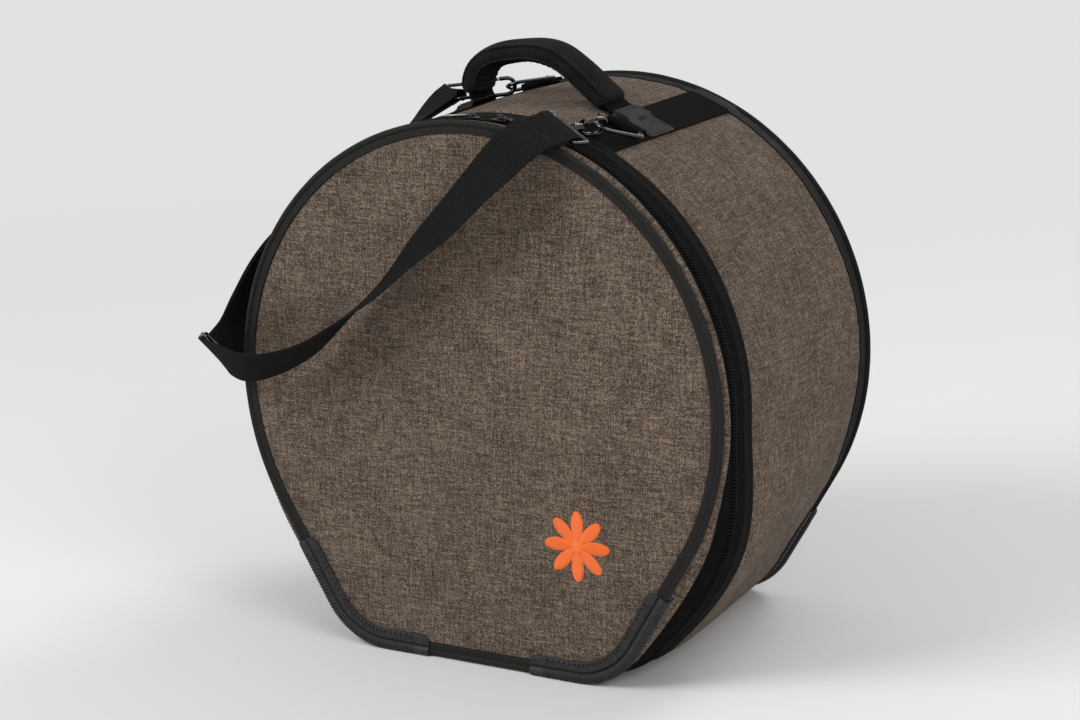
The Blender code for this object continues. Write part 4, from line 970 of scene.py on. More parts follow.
# %% The section of a guard
guard_far = inner_face_offset - 0.010
flange_reach = np.array([0.0, 0.06, 0.13, 0.2, 0.6, 0.93, 0.99, 1.0, 0.6, 0.1])
guard_kinds = {
    "front": dict(middle=0.0, bead=(38, -146), lip=(-140, 38), root=-0.0068, far=guard_far, swell=0.0,
                  rise=[-0.0019, -0.0021, -0.0029, -0.0030, -0.0029, -0.0028, -0.0023, -0.0014, -0.0014, -0.0014]),
    "rear": dict(middle=bag_depth, bead=(122, -44), lip=(-38, 120), root=0.2520, far=0.2415, swell=1.0,
                 rise=[-0.0016, -0.0013, -0.0007, -0.0005, -0.0006, -0.0007, -0.0012, -0.0021, -0.0021, -0.0021])}


def guard(name, side, middle, bead, lip, root, far, swell, rise):
    """A guard: its bead, then its flange, then back under both."""
    a = np.radians(np.linspace(*bead, 24))[None]
    lip = np.radians(np.linspace(*lip, 8))[None] + 0 * ribs[:, None]
    fade = np.clip(np.minimum(a - a.min(), a.max() - a) / 0.35, 0, 1)
    radius = guard_radius * thin_end[:, None] + ribs[:, None] * fade
    flange = root + (far + flange_cut[:, None] - root) * flange_reach
    flange = (flange, rise + 0 * flange) if middle == 0 else (rise + 0 * flange, flange)
    offsets = [radius * np.cos(a) - piping_radius, flange[0], (piping_radius + gap) * np.cos(lip) - piping_radius]
    depths = [middle + radius * np.sin(a), flange[1], middle + (piping_radius + gap) * np.sin(lip)]
    offsets, depths = (np.concatenate(parts + [parts[0][:, :1]], 1) for parts in (offsets, depths))
    # The third value marks where the rubber's painted shade goes: the rib share on the bead, and 2 in the groove
    # between bead and flange.
    ribbed = np.zeros(offsets.shape)
    ribbed[:, :24] = rib_share[:, None] * fade
    ribbed[:, 23:25] = 2
    points = carry(side * guard_t, offsets, depths, swell, 0.0, 0.0)
    return surface(name, points, places_in_cloth(guard_t[:, None], offsets + depths, ribbed), True)


# %% The four guards and the stitches of their flanges
notch_s = np.arange(guard_low + 0.016, guard_high - 0.012, 0.0048)
for side, word in ((1, "right"), (-1, "left")):
    for place, body in (("front", "lid"), ("rear", "bag")):
        rubber = guard(f"{place}_guard_rubber_{word}", side, **guard_kinds[place])
        settle(rubber, black_rubber, body, "rubber", f"{place}_guard_{word}")
    notch_t = side * (half_length - notch_s)
    for place, body, ups, (starts, ends) in (
        ("front", "lid", -rear, [spot_at(notch_t, guard_far + far, -0.0031, 0.0) for far in (0.0032, 0.0006)]),
        ("rear", "bag", outward_at(notch_t), [spot_at(notch_t, -0.0004, depth) for depth in (0.2447, 0.2421)]),
    ):
        row = threads(f"{place}_guard_stitches_{word}", starts, ends, ups, 0.00045, 0.0001)
        settle(row, black_thread, body, "rubber")

# %% [markdown]
# ## The zip
# The zip runs round all but the middle of the base. Each half is a woven tape with a coil of nylon
# sewn along its edge. Seen close, a coil is a row of small rounded teeth, so each tooth is modelled,
# and the two rows are half a pitch apart, as they must be to close. Behind it a padded welt covers the
# seam with the wall: its rear edge is a soft ridge, and it rises where a band passes under it.

# %% Zip tapes, coils and welt
def zip_cloth():
    tape = Finish("zip_tape_cloth", grey(13), 0.9, Specular_IOR_Level=0.05)
    rib = tape.ridges(tape.plus(tape.along, tape.times(tape.ridges(tape.across, 0.0016), 0.0004)), 0.0009)
    tone = tape.spread(tape.cloud(tape.place, 90.0, 3.0), 0.3, 0.8, 0.0, 0.5)
    # Painted shade: the colour is lighter on the ribs' crests and darker in their hollows, by the same wave as the
    # relief. The cloud adds random tone.
    return tape.done(tape.blend(tape.times_plus(rib, 0.4, tone), grey(9), grey(20)), rib, 0.00018, 0.7)


def coil_nylon():
    nylon = Finish("coil_nylon", grey(10), 0.55, Specular_IOR_Level=0.08)
    tone = nylon.cloud(nylon.point(nylon.times(nylon.along, 5.0), 0.3), 2.0, 2.0)
    return nylon.done(nylon.blend(tone, grey(8), grey(15)), tone, 0.0001, 0.3)


def welt_cloth():
    welt = Finish("welt_cloth", grey(24), 0.88, Specular_IOR_Level=0.06)
    grain = welt.streaks(260.0, 1500.0, 3.0, 0.6)
    colour = welt.blend(welt.spread(grain, 0.3, 0.75), grey(16), srgb(33, 33, 32))
    return welt.done(colour, welt.plus(grain, welt.weave(0.0008)), 0.00018, 0.7)


zip_black, nylon_black, welt_grey = zip_cloth(), coil_nylon(), welt_cloth()

# %% Zip tapes and coils
coil_pitch = 0.0025
tape_dip = -wall_inset - 0.0004 + 0.0003 * np.sin(np.linspace(0, np.pi, 12))
for word, body, first, last, tooth in (
    ("lid", "lid", lid_strip_end - 0.0010, lid_teeth_start + 0.0012, (lid_teeth_start - 0.0008, 0.0231)),
    ("body", "bag", body_teeth_end - 0.0012, welt_start + 0.0020, (body_teeth_end + 0.0008, 0.0237)),
):
    tape = strip_round(f"zip_tape_{word}_cloth", zip_t, tape_dip, np.linspace(first, last, 12))
    settle(tape, zip_black, body, "zip_tape", f"zip_tape_{word}")
    teeth_t = np.arange(-zip_end_t + 0.002, zip_end_t - 0.002, coil_pitch) + (0 if word == "lid" else coil_pitch / 2)
    starts, ends = (spot_at(teeth_t, -wall_inset - 0.0001, depth) for depth in tooth)
    coil = threads(f"zip_coil_{word}", starts, ends, outward_at(teeth_t), 0.00078, 0.0003)
    settle(coil, nylon_black, body, "zip_teeth", f"zip_teeth_{word}")

# %% The welt
welt_shares = np.array([
    [0.00, 0.0], [0.01, 0.55], [0.05, 0.85], [0.25, 0.80], [0.45, 0.78], [0.56, 0.95], [0.66, 1.55], [0.76, 1.85],
    [0.86, 1.60], [0.95, 0.9], [1.0, 0.1], [1.0, -0.6], [0.5, -0.6], [0.0, -0.6], [0.0, 0.0]])
welt_depth = welt_start + (welt_end - welt_start) * welt_shares[:, 0]
welt_t = round_trip(0.003, -zip_end_t, zip_end_t)
welt_rise = -wall_inset - 0.0006 + 0.0011 * welt_shares[:, 1][None] * (1 + 0.05 * np.sin(welt_t[:, None] / 0.011))
welt_rise = welt_rise + 0.0012 * over_band(welt_t)[:, None] * (welt_shares[:, 0] > 0.5)[None]
welt = strip_round("zip_welt_cloth", welt_t, welt_rise, welt_depth, ends=True)
settle(welt, welt_grey, "bag", "piping", "zip_welt")
for name, place_at, body, slot in (
    ("welt_stitches", on_wall(welt_start + 0.0055, -wall_inset + 0.00025), "bag", "piping"),
    ("rim_stitches", on_wall(lid_strip_end - 0.0012, -wall_inset + 0.0001), "lid", "woven_cloth"),
):
    row = row_of_stitches(name, place_at, -zip_end_t + 0.003, zip_end_t - 0.003, 0.0030, 0.7)
    settle(row, black_thread, body, slot)

# %% [markdown]
# ## Black metal
# The hooks, rings, eyes, sliders and slide are steel with a glossy black plating. A dark metal gives the
# tight bright highlights of the photograph, and fine scratches and dull spots keep it from looking new.

# %% Black plated metal
def plated_metal():
    metal = Finish("black_plating", (0.055, 0.055, 0.058), 0.2, Metallic=1.0, Coat_Weight=0.35, Coat_Roughness=0.08)
    where = metal.add("ShaderNodeTexCoord", {}).outputs["Object"]
    worn = metal.cloud(where, 260.0, 4.0, 0.65)
    drawn = metal.add("ShaderNodeMapping", {"Vector": where, "Scale": (900.0, 90.0, 900.0)}).outputs[0]
    scratch = metal.cloud(drawn, 1.0, 3.0, 0.7)
    colour = metal.blend(metal.spread(worn, 0.55, 0.75), (0.045, 0.045, 0.048), (0.10, 0.10, 0.10))
    return metal.done(colour, scratch, 0.00005, 0.35, metal.spread(worn, 0.3, 0.75, 0.14, 0.34))


black_metal = plated_metal()


def joint_named(name):
    """A joint of the frame: its place and its axis."""
    return next(j for j in frame["joints"] if j["name"] == name)


print("a joint as the frame gives it:", joint_named("ring_right_swing"))

# %% [markdown]
# ## Sliders and their pulls
# Two sliders meet at the top. Each is a rounded plate above the coils and one below, joined by a web
# between the two rows, with a small arch on top that holds the pull. The pull is a stamped plate with
# a window round that arch. Slider and pull are both built from the slider's place, given as an angle.

# %% Plates with rounded edges
def in_axes(frame_of, flat, height):
    """A flat outline laid out in a frame of three directions, at a height over it."""
    origin, first, second, third = frame_of
    return origin + flat[:, :1] * first + flat[:, 1:] * second + third * height


def plate_between(name, frame_of, outline, layers):
    """A flat solid: its outline is shrunk at each height, which rounds its edges."""
    centre = outline.mean(0)
    grid = np.stack([in_axes(frame_of, centre + (outline - centre) * scale, height) for height, scale in layers])
    grid = np.concatenate([grid, grid[:, :1]], 1)
    origin = frame_of[0]
    return surface(name, grid, places_in_cloth(grid[..., 0] - origin[0], grid[..., 1] - origin[1]), True, 40)


def rounded_outline(low, high, half_low, half_high, corner, steps=6):
    """An outline with round corners, from one end to the other along the first direction."""
    points = []
    for u, w, start in ((high, half_high, 0), (low, half_low, 90), (low, -half_low, 180), (high, -half_high, 270)):
        cu = u - corner if u == high else u + corner
        cw = w - corner if w > 0 else w + corner
        for a in np.radians(np.linspace(start, start + 90, steps + 1)):
            points.append((cu + corner * math.cos(a), cw + corner * math.sin(a)))
    return np.array(points)


# %% Plates with a window
def framed_plate(name, frame_of, outer, inner, thickness, edge=0.00025):
    """A plate with a window: outer and inner outlines have as many points."""
    half = thickness / 2
    outer_small = outer - unit(outer - outer.mean(0)) * edge
    inner_large = inner + unit(inner - inner.mean(0)) * edge
    loops = [(outer_small, -half), (outer, -half + edge), (outer, half - edge), (outer_small, half),
             (inner_large, half), (inner, half - edge), (inner, -half + edge), (inner_large, -half)]
    loops.append(loops[0])
    grid = np.stack([in_axes(frame_of, loop, height) for loop, height in loops], 1)
    grid = np.concatenate([grid, grid[:1]])
    origin = frame_of[0]
    return surface(name, grid, places_in_cloth(grid[..., 0] - origin[0], grid[..., 1] - origin[1]), False, 40)


def around_window(outer, inner_low, inner_high, inner_half, corner, count=72):
    """Matching points on an outline and on the rounded window inside it."""
    inner = rounded_outline(inner_low, inner_high, inner_half, inner_half, corner, 8)
    middle = inner.mean(0)

    def at_angles(loop, angles):
        dense = filled(loop, 12)
        a = np.arctan2(dense[:, 1] - middle[1], dense[:, 0] - middle[0])
        order = np.argsort(a)
        return np.stack([np.interp(angles, a[order], dense[order, k], period=math.tau) for k in (0, 1)], -1)

    ring = np.vstack([outer, outer[:1]])
    run = lengths(ring)
    evenly = np.linspace(0, run[-1], count, endpoint=False)
    spots = np.stack([np.interp(evenly, run, ring[:, k]) for k in (0, 1)], -1)
    angles = np.sort(np.arctan2(spots[:, 1] - middle[1], spots[:, 0] - middle[0]))
    return at_angles(outer, angles), at_angles(inner, angles)


# %% Where the two sliders sit
slider_angles = {"left": -2.6, "right": 3.9}
zip_middle = (lid_teeth_end + body_teeth_start) / 2
slider_low, slider_high = 0.00085, 0.00215
slider_shape = rounded_outline(-0.0062, 0.0062, 0.0034, 0.0043, 0.0022)
pull_edge = curve_through([[-0.0008, 0.0030], [0.0010, 0.0036], [0.0062, 0.0034], [0.0100, 0.0025], [0.0150, 0.0027],
                           [0.0215, 0.0035], [0.0250, 0.0033], [0.0266, 0.0020], [0.0270, 0.0]], 5)
pull_edge = np.concatenate([pull_edge, (pull_edge * [1, -1])[::-1][1:]])
pull_outlines = around_window(pull_edge, 0.0007, 0.0062, 0.0014, 0.0006)

# %% Two sliders and two pulls
for word, toward in (("left", -1), ("right", 1)):
    a = math.radians(slider_angles[word])
    out = np.array([math.sin(a), 0, math.cos(a)])
    seat = np.array([middle_x, front_y + zip_middle, centre_height]) + out * (bag_radius - wall_inset)
    nose = np.array([math.cos(a), 0, -math.sin(a)]) * toward
    top = plate_between("slider_top", (seat, nose, rear, out), slider_shape,
                        [(slider_low, 0.9), (slider_low + 0.0001, 0.99), (slider_low + 0.0008, 1.0),
                         (slider_high - 0.0002, 0.93), (slider_high, 0.82)])
    bottom = plate_between("slider_bottom", (seat, nose, rear, out), slider_shape,
                           [(-0.0030, 0.85), (-0.0028, 0.97), (-0.0020, 1.0), (-0.00178, 0.95)])
    web_shape = rounded_outline(-0.0001, 0.0058, 0.00022, 0.00022, 0.0001, 2)
    web = plate_between("slider_web", (seat, nose, rear, out), web_shape, [(-0.0020, 1.0), (slider_low + 0.0003, 1.0)])
    arch = np.vstack([seat + out * 0.0012 - nose * 0.0024, arc(seat + out * 0.0030, -nose, out, 0.0022, 0, 180, 14),
                      seat + out * 0.0012 + nose * 0.0024])
    bridge = wire("slider_arch", arch, rear, 0.00062, 14)
    slider = join(f"slider_body_{word}", [top, bottom, web, bridge])
    settle(slider, black_metal, f"slider_{word}", "black_metal", f"zip_slider_{word}")

    tilt = math.radians(3.5)
    reach = nose * math.cos(tilt) - out * math.sin(tilt)
    lift = out * math.cos(tilt) + nose * math.sin(tilt)
    pull = framed_plate(f"pull_plate_{word}", (seat + out * 0.00345, reach, rear, lift), *pull_outlines, 0.0012)
    settle(pull, black_metal, f"pull_{word}", "black_metal", f"zip_pull_{word}")
# %% [markdown]
# ## Webbing
# Webbing is a flat woven strap with round, slightly thicker edges. The shoulder strap has ribs across
# it every two millimetres; the bands over the bag are smoother. One finish serves both, with the rib
# pitch and depth as its choices, and both read the place in the cloth.

# %% Webbing finishes
def webbing_finish(name, pitch, depth, colour, lighter):
    web = Finish(name, colour, 0.9, Specular_IOR_Level=0.05)
    rib, cross = web.ridges(web.along, pitch), web.ridges(web.across, 0.0011)
    edge = web.spread(web.sum("ABSOLUTE", web.across), webbing_width / 2 - 0.0026, webbing_width / 2 - 0.0012)
    fuzz = web.streaks(420.0, 420.0, 4.0, 0.65)
    # Painted shade: the colour is lighter on each rib's crest and darker in the hollows between ribs, by the same wave
    # as the relief. The fuzz adds random tone.
    shade = web.times_plus(rib, 0.45, web.spread(fuzz, 0.3, 0.8, 0.0, 0.55))
    firm = web.sum("SUBTRACT", 1.0, web.times(edge, 0.7))
    height = web.plus(web.times(rib, firm), web.times(cross, 0.22))
    return web.done(web.blend(shade, colour, lighter), height, depth, 0.9)


strap_web = webbing_finish("ribbed_strap", 0.0021, 0.00050, grey(15), grey(39))
band_web = webbing_finish("smooth_band", 0.0012, 0.00022, grey(9), grey(18))

# %% [markdown]
# ## Bands and patches on the top
# Two webbing bands run over the bag from the welt to the rear tape, one on each side of the top. They
# lie on the wall's own curve and go under the welt and the tape. A coated patch is stitched on each
# band where the handle ends. Its corners are round, and its surface dips along the stitches.

# %% Two bands
band_thickness, strap_thickness = 0.0015, 0.0016
band_section = rolled_strip(webbing_width, band_thickness)
band_section = np.concatenate([band_section, band_section[:1]])
band_depth = np.linspace(welt_end - 0.004, wall_end - 0.002, 90)[:, None]
for side, word in ((1, "right"), (-1, "left")):
    t = side * band_centre + band_section[None, :, 0] + 0 * band_depth
    lift = -wall_inset + gap + band_thickness / 2 + band_section[None, :, 1]
    band = surface(f"band_webbing_{word}", spot_at(t, lift, band_depth + 0 * t, 1.0, 1.0),
                   places_in_cloth(band_depth, band_section[None, :, 0]), True)
    settle(band, band_web, "bag", "webbing", f"band_{word}")


# %% Coated vinyl of the patches
def grained_vinyl():
    vinyl = Finish("grained_vinyl", grey(14), 0.5, Specular_IOR_Level=0.1)
    grain = vinyl.cells(vinyl.point(vinyl.along, vinyl.across), 900.0)
    soft = vinyl.cloud(vinyl.place, 70.0, 3.0)
    worn = vinyl.spread(vinyl.third, 0.0, 0.0016, 1.0, 0.0)
    shade = vinyl.times_plus(worn, 0.7, vinyl.spread(soft, 0.35, 0.8, 0.0, 0.4))
    tone = vinyl.blend(shade, grey(8), srgb(36, 35, 34))
    return vinyl.done(tone, grain, 0.00018, 0.55, vinyl.spread(soft, 0.3, 0.7, 0.42, 0.58))


patch_vinyl = grained_vinyl()

# %% The shape of a patch
patch_middle, patch_half = bag_depth / 2, 0.019
patch_seat = -wall_inset + 2 * gap + band_thickness


def over_tail(outward, deep):
    """How far the patch rises over the handle's webbing tail, with creases that run off it."""
    rise = smooth((0.0012 - outward) / 0.006) * smooth((0.0190 - np.abs(deep)) / 0.0023)
    crease = np.sin(outward / 0.0011 + deep / 0.0024) * np.clip(1 - np.abs(outward - 0.001) / 0.009, 0, 1)
    return 0.0034 * rise + 0.00028 * crease * np.clip(1 - np.abs(deep) / 0.018, 0, 1)


edge_rings = [(1.0, -0.00045), (1.0, 0.0), (0.995, 0.0004), (0.975, 0.0006), (0.93, 0.00062), (0.885, 0.0005),
              (0.84, 0.00036), (0.80, 0.0005)]
patch_rings = np.array(edge_rings + [(share, 0.0006) for share in np.arange(0.76, -0.01, -0.04)])
patch_outline = filled(rounded_outline(-patch_half, patch_half, patch_half, patch_half, 0.0035), 4)
patch_outline = np.vstack([patch_outline, patch_outline[:1]])
stitch_line = patch_outline * 0.84
stitch_run = lengths(stitch_line)

# %% Two coated patches
for side, word in ((1, "right"), (-1, "left")):
    shrink, lift = patch_rings[:, :1], patch_rings[:, 1:] + patch_seat + 0.0003
    across, deep = patch_outline[None, :, 0] * shrink, patch_outline[None, :, 1] * shrink
    points = spot_at(side * band_centre + across, lift + over_tail(side * across, deep), patch_middle + deep, 1.0, 1.0)
    patch = surface(f"handle_patch_vinyl_{word}", points, places_in_cloth(across, deep, (1 - shrink) * patch_half))
    settle(patch, patch_vinyl, "bag", "vinyl", f"handle_patch_{word}")

    def on_patch(distance, side=side):
        """Places on the stitch line, and the way out of the patch there."""
        u, v = (np.interp(distance, stitch_run, stitch_line[:, k]) for k in (0, 1))
        t = side * band_centre + u
        return spot_at(t, patch_seat + 0.00078 + over_tail(side * u, v), patch_middle + v, 1.0, 1.0), outward_at(t)

    stitch_at = np.arange(0, stitch_run[-1] - 0.0015, 0.0031)
    starts, ups = on_patch(stitch_at)
    row = threads(f"handle_patch_stitches_{word}", starts, on_patch(stitch_at + 0.0022)[0], ups, 0.00026, 0.0002)
    settle(row, grey_thread, "bag", "vinyl")

# %% [markdown]
# ## The carry handle
# The grip is a thick padded tube of black cloth that rises steeply on the left, arches over and slopes
# down to the right. Foam inside keeps it round, and the cover wrinkles a little on the inner side of
# its bends. Two stitched seams run along its front side, one above the middle and one below it. Flat
# webbing leaves both ends and is sewn to the patches.

# %% The handle's middle line
handle_half_span, handle_rise = 0.062, 0.0423
handle_line_shares = np.array([
    (-1.00, 0.00), (-1.05, 0.16), (-1.06, 0.41), (-0.97, 0.68), (-0.77, 0.87), (-0.48, 0.965), (-0.18, 1.00),
    (0.10, 0.92), (0.355, 0.705), (0.645, 0.375), (0.86, 0.13), (0.95, 0.00)])


def patch_top(x):
    """Height of the patches' faces above the ground at a distance from the middle."""
    return centre_height + np.sqrt((bag_radius + patch_seat + 0.002) ** 2 - x**2)


span_top = patch_top(handle_half_span)
handle_points = np.column_stack([
    handle_line_shares[:, 0] * handle_half_span, 0 * handle_line_shares[:, 0] + patch_middle,
    span_top + handle_line_shares[:, 1] * handle_rise])
for i in (0, -1):
    handle_points[i, 2] = patch_top(handle_points[i, 0])
handle_points += [middle_x, front_y, 0]
handle_path = curve_through(handle_points, 24)
lift_height = {-1: span_top + 0.0074, 1: span_top + 0.0052}
side_of_path = np.where(handle_path[:, 0] < middle_x, lift_height[-1], lift_height[1])
inside_grip = np.where(handle_path[:, 2] > side_of_path)[0]
grip_path = handle_path[inside_grip[0]:inside_grip[-1] + 1]
print("the grip is", round(float(lengths(grip_path)[-1]) * 1000, 1), "mm long")


# %% The grip's cover
def padded_cover():
    cover = Finish("padded_cover", grey(24), 0.9, Specular_IOR_Level=0.08)
    fuzz = cover.cloud(cover.place, 320.0, 4.0, 0.6)
    patchy = cover.cloud(cover.place, 40.0, 3.0)
    tone = cover.blend(cover.spread(patchy, 0.3, 0.75), grey(19), grey(33))
    rumple = cover.streaks(210.0, 90.0, 3.0, 0.6)
    height = cover.times_plus(rumple, 6.0, cover.times_plus(fuzz, 1.5, cover.weave(0.0010)))
    return cover.done(tone, height, 0.0002, 0.9)


handle_cloth = padded_cover()

# %% The section of the grip at each step
run, ahead = lengths(grip_path), ways(grip_path)
rearward = np.broadcast_to(rear, grip_path.shape)
outward = unit(np.cross(ahead, rearward))
if outward[len(outward) // 2, 2] < 0:
    outward = -outward
from_end = np.minimum(run, run[-1] - run)[:, None]
swell_end = np.sqrt(np.clip(1 - np.clip(1 - from_end / 0.007, 0, 1) ** 2, 0.0, 1)) * 0.34 + 0.66
bend = np.linalg.norm(np.gradient(ahead, axis=0), axis=1) / np.maximum(np.gradient(run), 1e-6)
bend = np.convolve(bend, np.ones(9) / 9, "same")[:, None]
ring_a = np.linspace(0, 2 * np.pi, 97)[:-1]
grip_seams = (0.80 * np.pi, 1.16 * np.pi)
seam = sum(0.0010 * np.exp(-(((ring_a - at) / 0.09) ** 2)) - 0.0012 * np.exp(-(((ring_a - at - 0.19) / 0.07) ** 2))
           for at in grip_seams)
s, c, v = run[:, None], np.cos(ring_a), np.sin(ring_a)
wide = 0.0180 * swell_end * (1 + 0.02 * np.sin(s / 0.019))
thick = 0.0092 * swell_end * (1 + 0.035 * np.sin(s / 0.013 + 0.6) + 0.025 * np.sin(s / 0.0061))
u = wide * np.sign(c) * np.abs(c) ** 0.86
h = thick * np.sign(v) * np.abs(v) ** 0.86
crease = np.clip(-v, 0, 1) * np.minimum(1.0, bend * 0.02) * 0.0007 * np.sin(s / 0.0011 + 0.8 * np.sin(s / 0.007))
grow = 1 + (seam * np.minimum(1.0, from_end / 0.006) + crease) / np.maximum(np.hypot(u, h), 0.004)
sections = np.stack([u * grow, h * grow], -1)

# %% The padded grip and its stitches
grip = loft("grip_cover", grip_path, rearward, outward, sections)
settle(grip, handle_cloth, "handle", "grip", "handle_grip", "handle_core")
rows = []
first = np.arange(0.010, run[-1] - 0.017, 0.0030)
for at in grip_seams:
    edge = sections[:, int(round((at - 0.13) / ring_a[1]))]
    line = grip_path + rearward * edge[:, :1] + outward * edge[:, 1:]
    up = unit(rearward * math.cos(at) + outward * math.sin(at))
    rows.append([np.stack([np.interp(first + more, run, table[:, i]) for i in range(3)], -1)
                 for table, more in ((line, 0.0), (line, 0.0021), (up, 0.001))])
starts, ends, ups = [np.concatenate(group) for group in zip(*rows)]
settle(threads("grip_stitches", starts, ends, ups, 0.00026, 0.0003), grey_thread, "handle", "grip")

# %% The handle's webbing ends
foot_section = rolled_strip(0.033, 0.0030)
for side, word in ((-1, "left"), (1, "right")):
    foot_points = handle_path[:inside_grip[0] + 14] if side < 0 else handle_path[inside_grip[-1] - 14:]
    bottom = foot_points[0] if side < 0 else foot_points[-1]
    tail_t = bag_radius * math.asin((bottom[0] - middle_x) / bag_radius)
    tail = spot_at(tail_t + side * np.array([0.0030, 0.0070, 0.0110, 0.0150]), patch_seat + 0.0025, patch_middle)
    path = np.vstack([tail[::-1], foot_points[6:]] if side < 0 else [foot_points[:-6], tail])
    fresh = np.concatenate([[True], np.diff(lengths(path)) > 1e-6])
    foot = strip_along(f"handle_tail_{word}", curve_through(path[fresh][::3], 5), rear, foot_section)
    foot.data.materials.append(band_web)
    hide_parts(f"handle_foot_{word}")
    low = patch_top(bottom[0] - middle_x)
    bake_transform(foot)
    print(foot.name, "bends between the bag and the handle")

# %% [markdown]
# ## Rings in their webbing tabs
# A ring bent from round wire lies in a loop of webbing on each band. Its bar is straight, its corners
# are tight, and its sides run together to a small round nose where the hook pulls. The loop goes
# round the bar, closes behind it and is sewn flat with a box of stitches. The joint's place and axis
# are the bar's, so ring and tab are built from them.

# %% Two rings
ring_wire, ring_width, ring_length, ring_corner, nose_radius = 0.0015, 0.038, 0.037, 0.004, 0.008
ring_tilt = math.radians(8)
ring_seats = {}
for word in ("left", "right"):
    swing = joint_named(f"ring_{word}_swing")
    bar, across = np.array(swing["pos_m"]), unit(swing["axis"])
    out = upward(np.cross(across, rear))
    ring_seats[word] = (bar, across, out)
    ahead = out * math.sin(ring_tilt) - rear * math.cos(ring_tilt)
    nose = bar + ahead * (ring_length - nose_radius)
    corner_out, side_up = ring_width / 2 - ring_corner, ring_length - nose_radius - ring_corner
    lean = math.asin((nose_radius - ring_corner) / math.hypot(corner_out, side_up))
    side_angle = math.degrees(math.atan2(side_up, -corner_out)) - 90 - math.degrees(lean)
    first, last = (bar + across * (way * corner_out) + ahead * ring_corner for way in (1, -1))
    loop = np.concatenate([arc(first, across, ahead, ring_corner, -90, side_angle, 10),
                           arc(nose, across, ahead, nose_radius, side_angle, 180 - side_angle, 22),
                           arc(last, across, ahead, ring_corner, 180 - side_angle, 270, 10)])
    loop = np.concatenate([loop, loop[-1] + (loop[0] - loop[-1]) * np.linspace(0, 1, 12)[1:-1, None]])
    ring = wire(f"d_ring_wire_{word}", filled(loop, 4), np.cross(across, ahead), ring_wire, 20, True)
    settle(ring, black_metal, f"ring_{word}", "black_metal", f"d_ring_{word}")


# %% A box of stitches
def soft_path(points, per_span=6):
    """A smooth path through points, without doubled ones."""
    points = np.asarray(points, float)
    keep = np.concatenate([[True], np.linalg.norm(np.diff(points, axis=0), axis=1) > 1e-6])
    return curve_through(points[keep], per_span)


def stitch_row(start, end, up, pitch=0.0026, share=0.7):
    """Starts, ends and ups of stitches in a straight row."""
    count = max(1, int(np.linalg.norm(end - start) / pitch))
    spots = np.linspace(start, end, count + 1)
    return spots[:-1], spots[:-1] + (spots[1:] - spots[:-1]) * share, np.broadcast_to(up, (count, 3))


def box_of_stitches(name, corner, first, second, up, crossed=True):
    """A sewn box: four sides and, where there is room, a cross inside."""
    a, b, c, d = corner, corner + first, corner + first + second, corner + second
    rows = [(a, b), (b, c), (c, d), (d, a)] + ([(a, c), (b, d)] if crossed else [])
    parts = zip(*[stitch_row(p, q, up) for p, q in rows])
    row = threads(name, *[np.concatenate(group) for group in parts], radius=0.00028, arch=0.0002)
    settle(row, black_thread, "bag", "webbing")


# %% Two webbing tabs
tab_tails = {"left": 0.0197, "right": 0.0152}
for word, (bar, across, out) in ring_seats.items():
    tail = tab_tails[word]
    under, over = ([rear * back + out * up for back, up in places] for places in (
        [(tail, -0.0025), (tail * 0.7, -0.0025), (0.004, -0.0025)],
        [(0.0020, 0.0017), (0.0038, 0.0002), (0.0058, -0.0007), (0.0085, -0.0009), (tail * 0.8, -0.0009),
         (tail - 0.0006, -0.00095)]))
    path = soft_path(bar + np.vstack([under, arc(0 * bar, -out, -rear, 0.0025, 0, 180, 12), over]))
    tab = strip_along(f"ring_tab_webbing_{word}", path, across, rolled_strip(0.027, strap_thickness))
    settle(tab, band_web, "bag", "webbing", f"ring_tab_{word}")
    box_of_stitches(f"ring_tab_stitches_{word}", bar - out * 0.00005 + rear * 0.0072 - across * 0.0108,
                    across * 0.0216, rear * (tail - 0.0094), out, word == "left")

# %% [markdown]
# ## Snap hooks
# Each hook is a bent rod with a turned neck, a pair of cheeks and a spring gate between them. The neck
# turns on a riveted post that stands on a flat eye as wide as the strap. The swivel joint passes
# through the ring's nose, along the hook, and all of the hook is laid out along that line.

# %% Turned and bent metal
def turned(name, origin, axis, side, profile, sides=32):
    """A solid of revolution from distances along an axis and radii."""
    profile = np.asarray(profile, float)
    other = np.cross(axis, side)
    a = np.linspace(0, 2 * np.pi, sides + 1)
    ring = side * np.cos(a)[:, None] + other * np.sin(a)[:, None]
    points = origin + axis * profile[:, None, :1] + ring[None] * profile[:, None, 1:]
    return surface(name, points, places_in_cloth(profile[:, :1], a[None] * 0.003), True, 35)


def frame_wire(name, middle, along, across, half_long, half_wide, corner, normal, radius):
    """A closed frame of wire with round corners."""
    line = filled(rounded_outline(-half_long, half_long, half_wide, half_wide, corner, 8), 4)
    return wire(name, middle + line[:, :1] * along + line[:, 1:] * across, normal, radius, 18, True)


# %% Two snap hooks with their gates and eyes
hook_wire, hook_bend = 0.0016, 0.0066
eye_long, eye_wide, eye_wire, eye_base = 0.0150, 0.0416, 0.0014, 0.0307
hook_acrosses = {"left": (0.60, -0.795, -0.10), "right": (0.857, -0.303, -0.416)}
neck_profile = [
    (0.0190, 0.0021), (0.0190, 0.0030), (0.0193, 0.0034), (0.0199, 0.0036), (0.0222, 0.0036), (0.0226, 0.0032),
    (0.0234, 0.0031), (0.0238, 0.0035), (0.0282, 0.0036), (0.0287, 0.0034), (0.0290, 0.0030), (0.0290, 0.0021),
    (0.0250, 0.0021), (0.0192, 0.0021)]
post_profile = [(0.0208, 0.0008), (0.0210, 0.0016), (0.0213, 0.0017), (0.0290, 0.0017), (0.0293, 0.0024),
                (0.0298, 0.0026), (0.0303, 0.0024), (0.0309, 0.0018)]
cheek_outline = rounded_outline(0.0150, 0.0200, 0.0020, 0.0024, 0.0015)
eye_bars = {}
